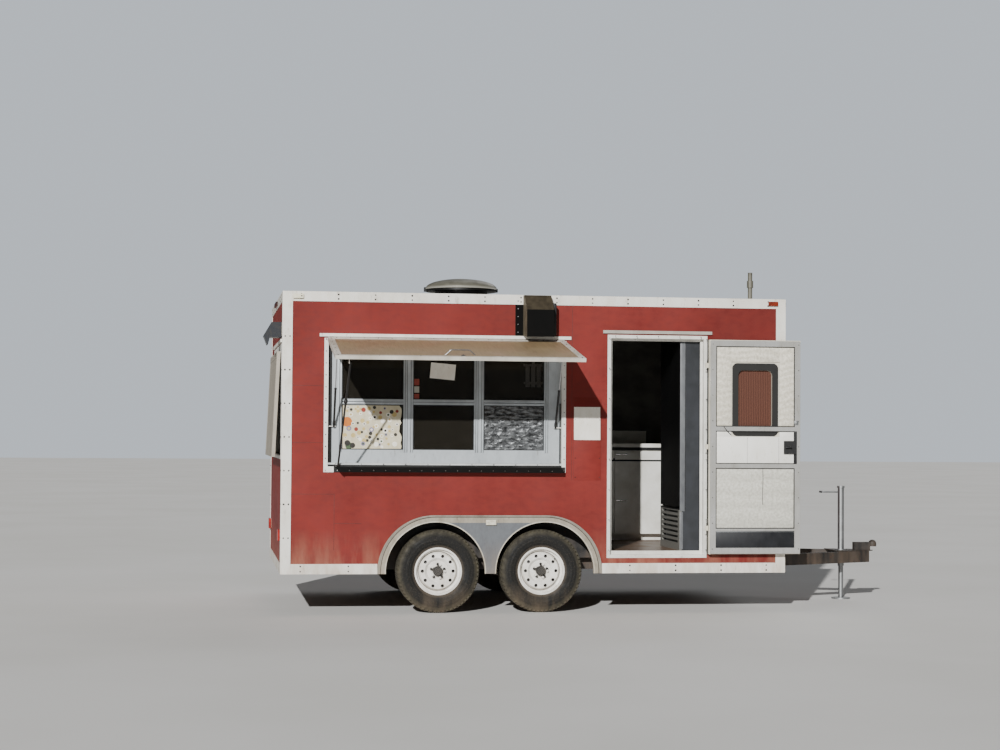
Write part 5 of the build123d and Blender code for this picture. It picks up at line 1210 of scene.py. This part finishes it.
def door_hardware():
    """The door's catch, a strip over its kick panel, the latch's lever, two strings and the edge screws."""
    bm = bmesh.new()
    slab(bm, CATCH + Vector((-17.5, -6, -17.5)), CATCH + Vector((17.5, 0.5, 17.5)), 2)
    slab(bm, CATCH + Vector((-9.5, -13, -8.5)), CATCH + Vector((6.5, -5, 7.5)), 2)
    slab(bm, (FIELD_X[0] + 4, -1301, 172), (FIELD_X[1] - 4, -1298, 177), 0.8)
    piece("door_catches", bm, "side_door", "trim", ZINC)
    bm = bmesh.new()
    slab(bm, LEVER + Vector((-10, -16, -8)), LEVER + Vector((10, 0.5, 8)), 3)
    slab(bm, LEVER + Vector((-46, -24, -6)), LEVER + Vector((10, -14, 6)), 4)
    piece("latch_lever", bm, "side_door", "black_plastic", BLACK_PLASTIC_AND_SHADOW)
    pull = [(STRING_X, CLOTH_Y - 2.5, 712), (STRING_X + 2, CLOTH_Y - 3, 600),
            (STRING_X - 2, CLOTH_Y - 3, 500), (STRING_X, CLOTH_Y - 2.5, 402)]
    strap = [(-1753, CLOTH_Y - 3, 1056), (-1724, CLOTH_Y - 6, 1018), (-1692, CLOTH_Y - 4, 989)]
    bm = bmesh.new()
    rod(bm, pull, 2.2, 8)
    rod(bm, strap, 4, 8)
    piece("door_string", bm, "side_door", "black_plastic", BLACK_SEAL_AND_GAP_SHADE)
    edge = [(x, SCREEN_Y, z) for x in (-1850, -1104) for z in spaced(30, 1750, 215)]
    screws("door_screws", "side_door", "trim", edge, CURB_WAY, SCREW_DARK, 4, 2, 14)


def doorway_fittings():
    """Screws round the door frame, and black strips of painted shade in the gap down its hinge side."""
    y = LOW["door_frame"].y
    x0, x1 = LOW["door_frame"].x, HIGH["door_frame"].x
    z1 = HIGH["door_frame"].z
    ring = [(x, y, z) for x in (x0 + 12, x1 - 12) for z in spaced(20, z1 - 30, 240)]
    ring += [(x, y, z1 - 12) for x in spaced(x0 + 60, x1 - 60, 190)]
    screws("door_frame_screws", "trailer", "trim", ring, CURB_WAY, SCREW_DARK, *PATCH_HEAD, 16)
    # Black strips of painted shade in the gap down the door's hinge side.
    bm = bmesh.new()
    slab(bm, (x1 - 0.5, -SIDE - 3.5, -20), (x1 + 9, -SIDE + 0.5, z1 - 30), 1)
    slab(bm, (x1 + 8, -SIDE - 1.2, -20), (x1 + 24, -SIDE + 0.5, z1 - 30), 0.3)
    piece("door_hinge_gap_shade", bm, "trailer", "black_plastic", BLACK_SEAL_AND_GAP_SHADE)


# Kitchen pieces that show through the door


HANDLES_X = (-2775.0, -2315.0)
HANDLES_Z = (378.0, 800.0)
UNIT_GAP_SHADE = ((738.0, 764.0), (838.0, 868.0))


def kitchen_fittings():
    """The fridge's corner trims and dark gasket, the units' bar handles, and black strips of painted shade in
    the gaps between their doors.
    """
    fridge = LOW["fridge"]
    front, back = fridge.y - 4, fridge.y + 0.4
    louvre, door = (20, 332), (340, 1878)
    bm = bmesh.new()
    slab(bm, (fridge.x + 2, front, door[0]), (fridge.x + 44, back, door[1]), 1.5)
    slab(bm, (fridge.x + 2, front, louvre[0]), (fridge.x + 30, back, louvre[1]), 1.5)
    slab(bm, (fridge.x + 45, fridge.y - 1.5, door[0]), (fridge.x + 51, back, door[1]), 0.5, 1)
    piece("fridge_trims", bm, "trailer", "steel_cabinet", FRIDGE_TRIM, BLACK_SEAL_AND_GAP_SHADE)
    units = LOW["base_units"]
    face = units.y + 8
    reach, handle_long = face - 26, 100
    bm = bmesh.new()
    for x0 in HANDLES_X:
        x1 = x0 + handle_long
        for z in HANDLES_Z:
            rod(bm, [(x0, reach, z), (x1, reach, z)], 5, 10)
            for x in (x0 + 10, x1 - 10):
                rod(bm, [(x, reach, z), (x, face + 0.5, z)], 4, 8)
    piece("kitchen_handles", bm, "trailer", "steel_cabinet", STRUT_STEEL)
    bm = bmesh.new()
    # Black strips of painted shade in the gaps between the units' doors.
    for low, high in UNIT_GAP_SHADE:
        slab(bm, (units.x + 2, face - 1.2, low), (HIGH["base_units"].x - 2, face + 1, high), 0.3)
    piece("unit_gap_shade", bm, "trailer", "steel_cabinet", BLACK_SEAL_AND_GAP_SHADE)


# Roof and wall fittings


def hood_fittings():
    """A black block at the hood's front side, partly its flange and partly its painted shadow on the wall,
    and pale screws down the flange at its rear side.
    """
    # A black block at the hood's front side: partly its flange, partly the hood's painted shadow on the wall.
    bm = bmesh.new()
    slab(bm, (-3229, -1330, 1800), (-3190, -1224.4, 2070), 9)
    piece("hood_flange_and_painted_shadow", bm, "trailer", "bronze_sheet", BLACK_PLASTIC_AND_SHADOW)
    flange = [(LOW["side_hood"].x + 22, -SIDE - 6, z) for z in spaced(1830, 2090, 62)]
    screws("hood_screws", "trailer", "bronze_sheet", flange, CURB_WAY, ZINC, 6, 4, 18)


FAN_RIM = Vector((-3819, 0, 2266))
DOME_TOP = 2358.0
DOME_R = 320.0
SKIRT_R = 316.0
SKIRT_DROP = 22.0


def roof_fittings():
    """The fan's dome with the skirt under its rim, and three black clips."""
    rise = DOME_TOP - FAN_RIM.z
    skirt = [(-SKIRT_DROP, 0), (-SKIRT_DROP, SKIRT_R), (-3, SKIRT_R), (-3, DOME_R + 3)]
    arc = [(rise * sin(radians(turn)) ** 0.9, DOME_R * cos(radians(turn))) for turn in range(0, 90, 9)]
    bm = bmesh.new()
    lathe(bm, skirt + arc + [(rise, 0)], FAN_RIM, (0, 0, 1), 64)
    piece("fan_dome", bm, "trailer", "vent_sheet", VENT)
    bm = bmesh.new()
    for angle in (0, 90, 180):
        turn = Matrix.Translation(FAN_RIM) @ Matrix.Rotation(radians(angle), 4, "Z")
        slab(bm, (DOME_R - 20, -14, -SKIRT_DROP), (DOME_R + 10, 14, 12), 3, 0, turn)
    piece("fan_clips", bm, "trailer", "vent_sheet", BLACK_PLASTIC_AND_SHADOW)


# Wheels


TREAD_R = 344.0
TREAD_DEEP = 6.0
TREAD_SUNK = 1.2
SIDEWALL = ((82, 190), (88, 192.5), (90.5, 198), (91, 209), (95, 221), (98.6, 230), (99.6, 234), (98.9, 238),
            (101, 246), (102.5, 258), (102.4, 268), (101.2, 271), (101.9, 275), (100.9, 286), (99.4, 297),
            (97.6, 300), (98.3, 304), (96.6, 311), (93.6, 320), (88, 330), (81, 336.5), (74, 338))
TREAD_ROWS = (-64.0, -32.0, 0.0, 32.0, 64.0)
TREAD_BLOCK = Vector((28, 25, TREAD_DEEP + 1))
TREAD_BLOCKS = 60
SHOULDER_ROWS = (-83.0, 83.0)
SHOULDER_R = 321.0
SHOULDER_LUG = Vector((22, 17, 32))
NUT_CIRCLE_R = 57.0
NUT_SEAT = 46.5
VALVE_R = 150.0
VALVE_SEAT = 44.0


def round_hub(hub, reach, turn, across=0.0):
    """A point beside a wheel's axis, by its distance, its angle and its place across the wheel."""
    return hub + Vector((reach * cos(turn), across, reach * sin(turn)))


def tyre(name, hub):
    """A trailer tyre: a turned carcass with sidewall rings, five rows of tread blocks and shoulder lugs."""
    profile = [(-t, r) for t, r in SIDEWALL] + [(t, r) for t, r in reversed(SIDEWALL)]
    bm = bmesh.new()
    lathe(bm, profile, hub, ROAD_WAY, 96, ring=True)
    made = piece(f"tyre_{name}_dressed", bm, f"wheel_{name}", "tyre", RUBBER, crisp=45)
    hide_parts(f"tyre_{name}")
    pitch = tau / TREAD_BLOCKS
    middle_r = TREAD_R - TREAD_DEEP / 2 - TREAD_SUNK
    tread = [round_hub(hub, middle_r, pitch * (k + 0.5 * (row % 2)), across)
             for row, across in enumerate(TREAD_ROWS) for k in range(TREAD_BLOCKS)]
    lugs = [round_hub(hub, SHOULDER_R, pitch * (k + 0.25), across)
            for across in SHOULDER_ROWS for k in range(TREAD_BLOCKS)]
    for label, points, size in (("tread", tread, TREAD_BLOCK), ("shoulder", lugs, SHOULDER_LUG)):
        inputs = {"Centre": tuple(hub * MM), "Block": tuple(size * MM), "Finish": RUBBER}
        mesh = grow(f"{label}_{name}", TREAD, points, inputs)
        finished(f"{label}_{name}", mesh, f"wheel_{name}")


def wheel_fittings(name, hub):
    """Five rusted lug nuts on their studs, and a valve with its cap."""
    outward = CURB_WAY if name.endswith("curb") else ROAD_WAY
    nut = [(0, 0), (0, 12), (15, 12), (19, 10), (23.5, 9), (23.5, 0)]
    valve = [(0, 0), (0, 7), (10, 6), (14, 4), (30, 4), (31, 5), (42, 5), (44, 3.5), (44, 0)]
    bm = bmesh.new()
    for k in range(5):
        foot = round_hub(hub, NUT_CIRCLE_R, tau * (k + 0.25) / 5) + outward * NUT_SEAT
        lathe(bm, nut, foot, outward, 6)
    piece(f"lug_nuts_{name}", bm, f"wheel_{name}", "zinc", SCREW_DARK, crisp=25)
    bm = bmesh.new()
    lathe(bm, valve, round_hub(hub, VALVE_R, radians(40)) + outward * VALVE_SEAT, outward, 12)
    piece(f"valve_{name}", bm, f"wheel_{name}", "black_plastic", BLACK_PLASTIC_AND_SHADOW)


body_screws()
lap_seams()
patch_and_notice()
window_fittings()
sticker_sheet()
foil_sheet()
window_papers()
inside_slats()
hatch_fittings()
strut_collars()
prop_clip()
screen_cloth()
door_gaskets()
door_panels()
door_hardware()
doorway_fittings()
kitchen_fittings()
hood_fittings()
roof_fittings()
for wheel, hub in WHEELS.items():
    tyre(wheel, hub)
    wheel_fittings(wheel, hub)

# Stage: a pale floor, a key light from the left of the camera and an even sky
FLOOR_HALF = 90.0
square = ((-1, -1), (1, -1), (1, 1), (-1, 1))
floor_corners = [(x * FLOOR_HALF, y * FLOOR_HALF, GROUND * MM) for x, y in square]
floor_mesh = bpy.data.meshes.new("studio_floor")
floor_mesh.from_pydata(floor_corners, [], [(0, 1, 2, 3)])
floor_mesh.materials.append(FLOOR)
studio = bpy.data.objects.new("studio_floor", floor_mesh)
bpy.context.scene.collection.objects.link(studio)

# The sky lights the trailer weakly and looks brighter to the camera
SKY_LIGHTS, SKY_SEEN = 0.11, 0.8
world = bpy.data.worlds.new("studio_sky")
bpy.context.scene.world = world
world.use_nodes = True
sky = world.node_tree.nodes["Background"]
sky.inputs["Color"].default_value = colour("#e2eaf3")
to_camera = add(world.node_tree, "ShaderNodeLightPath", out="Is Camera Ray")
strength = {"Value": to_camera, "To Min": SKY_LIGHTS, "To Max": SKY_SEEN}
world.node_tree.links.new(add(world.node_tree, "ShaderNodeMapRange", strength), sky.inputs["Strength"])


def sun(name, towards_sun, strength, spread_angle):
    """A sun that shines from a direction, soft by its angle."""
    data = bpy.data.lights.new(name, "SUN")
    data.energy = strength
    data.angle = radians(spread_angle)
    made = bpy.data.objects.new(name, data)
    made.rotation_euler = (-Vector(towards_sun)).to_track_quat("-Z", "Y").to_euler()
    bpy.context.scene.collection.objects.link(made)


sun("key_sun", (-0.331, -0.862, 0.384), 5.2, 0.8)
sun("back_fill", (0.4, 0.7, 0.6), 0.45, 40)

# Camera, fitted to the photograph by the wheels, rails and door
CAMERA_PLACE = Vector((-6.098, -17.464, 0.992))
CAMERA_YAW = radians(-8.581)
CAMERA_PITCH = radians(1.673)
CAMERA_ROLL = radians(0.395)
CAMERA_LENS = 71.22
level = Vector((cos(CAMERA_YAW), sin(CAMERA_YAW), 0))
forward = Vector((-sin(CAMERA_YAW), cos(CAMERA_YAW), 0))
ahead = forward * cos(CAMERA_PITCH) + Vector((0, 0, sin(CAMERA_PITCH)))
above = level.cross(ahead)
right = cos(CAMERA_ROLL) * level + sin(CAMERA_ROLL) * above
top = -sin(CAMERA_ROLL) * level + cos(CAMERA_ROLL) * above
camera_data = bpy.data.cameras.new("photo_camera")
camera_data.lens = CAMERA_LENS
camera_data.sensor_width = 36
camera_data.sensor_fit = "HORIZONTAL"
camera_data.clip_end = 400
camera = bpy.data.objects.new("photo_camera", camera_data)
camera.matrix_world = Matrix.Translation(CAMERA_PLACE) @ Matrix((right, top, -ahead)).transposed().to_4x4()
bpy.context.scene.collection.objects.link(camera)
bpy.context.scene.camera = camera
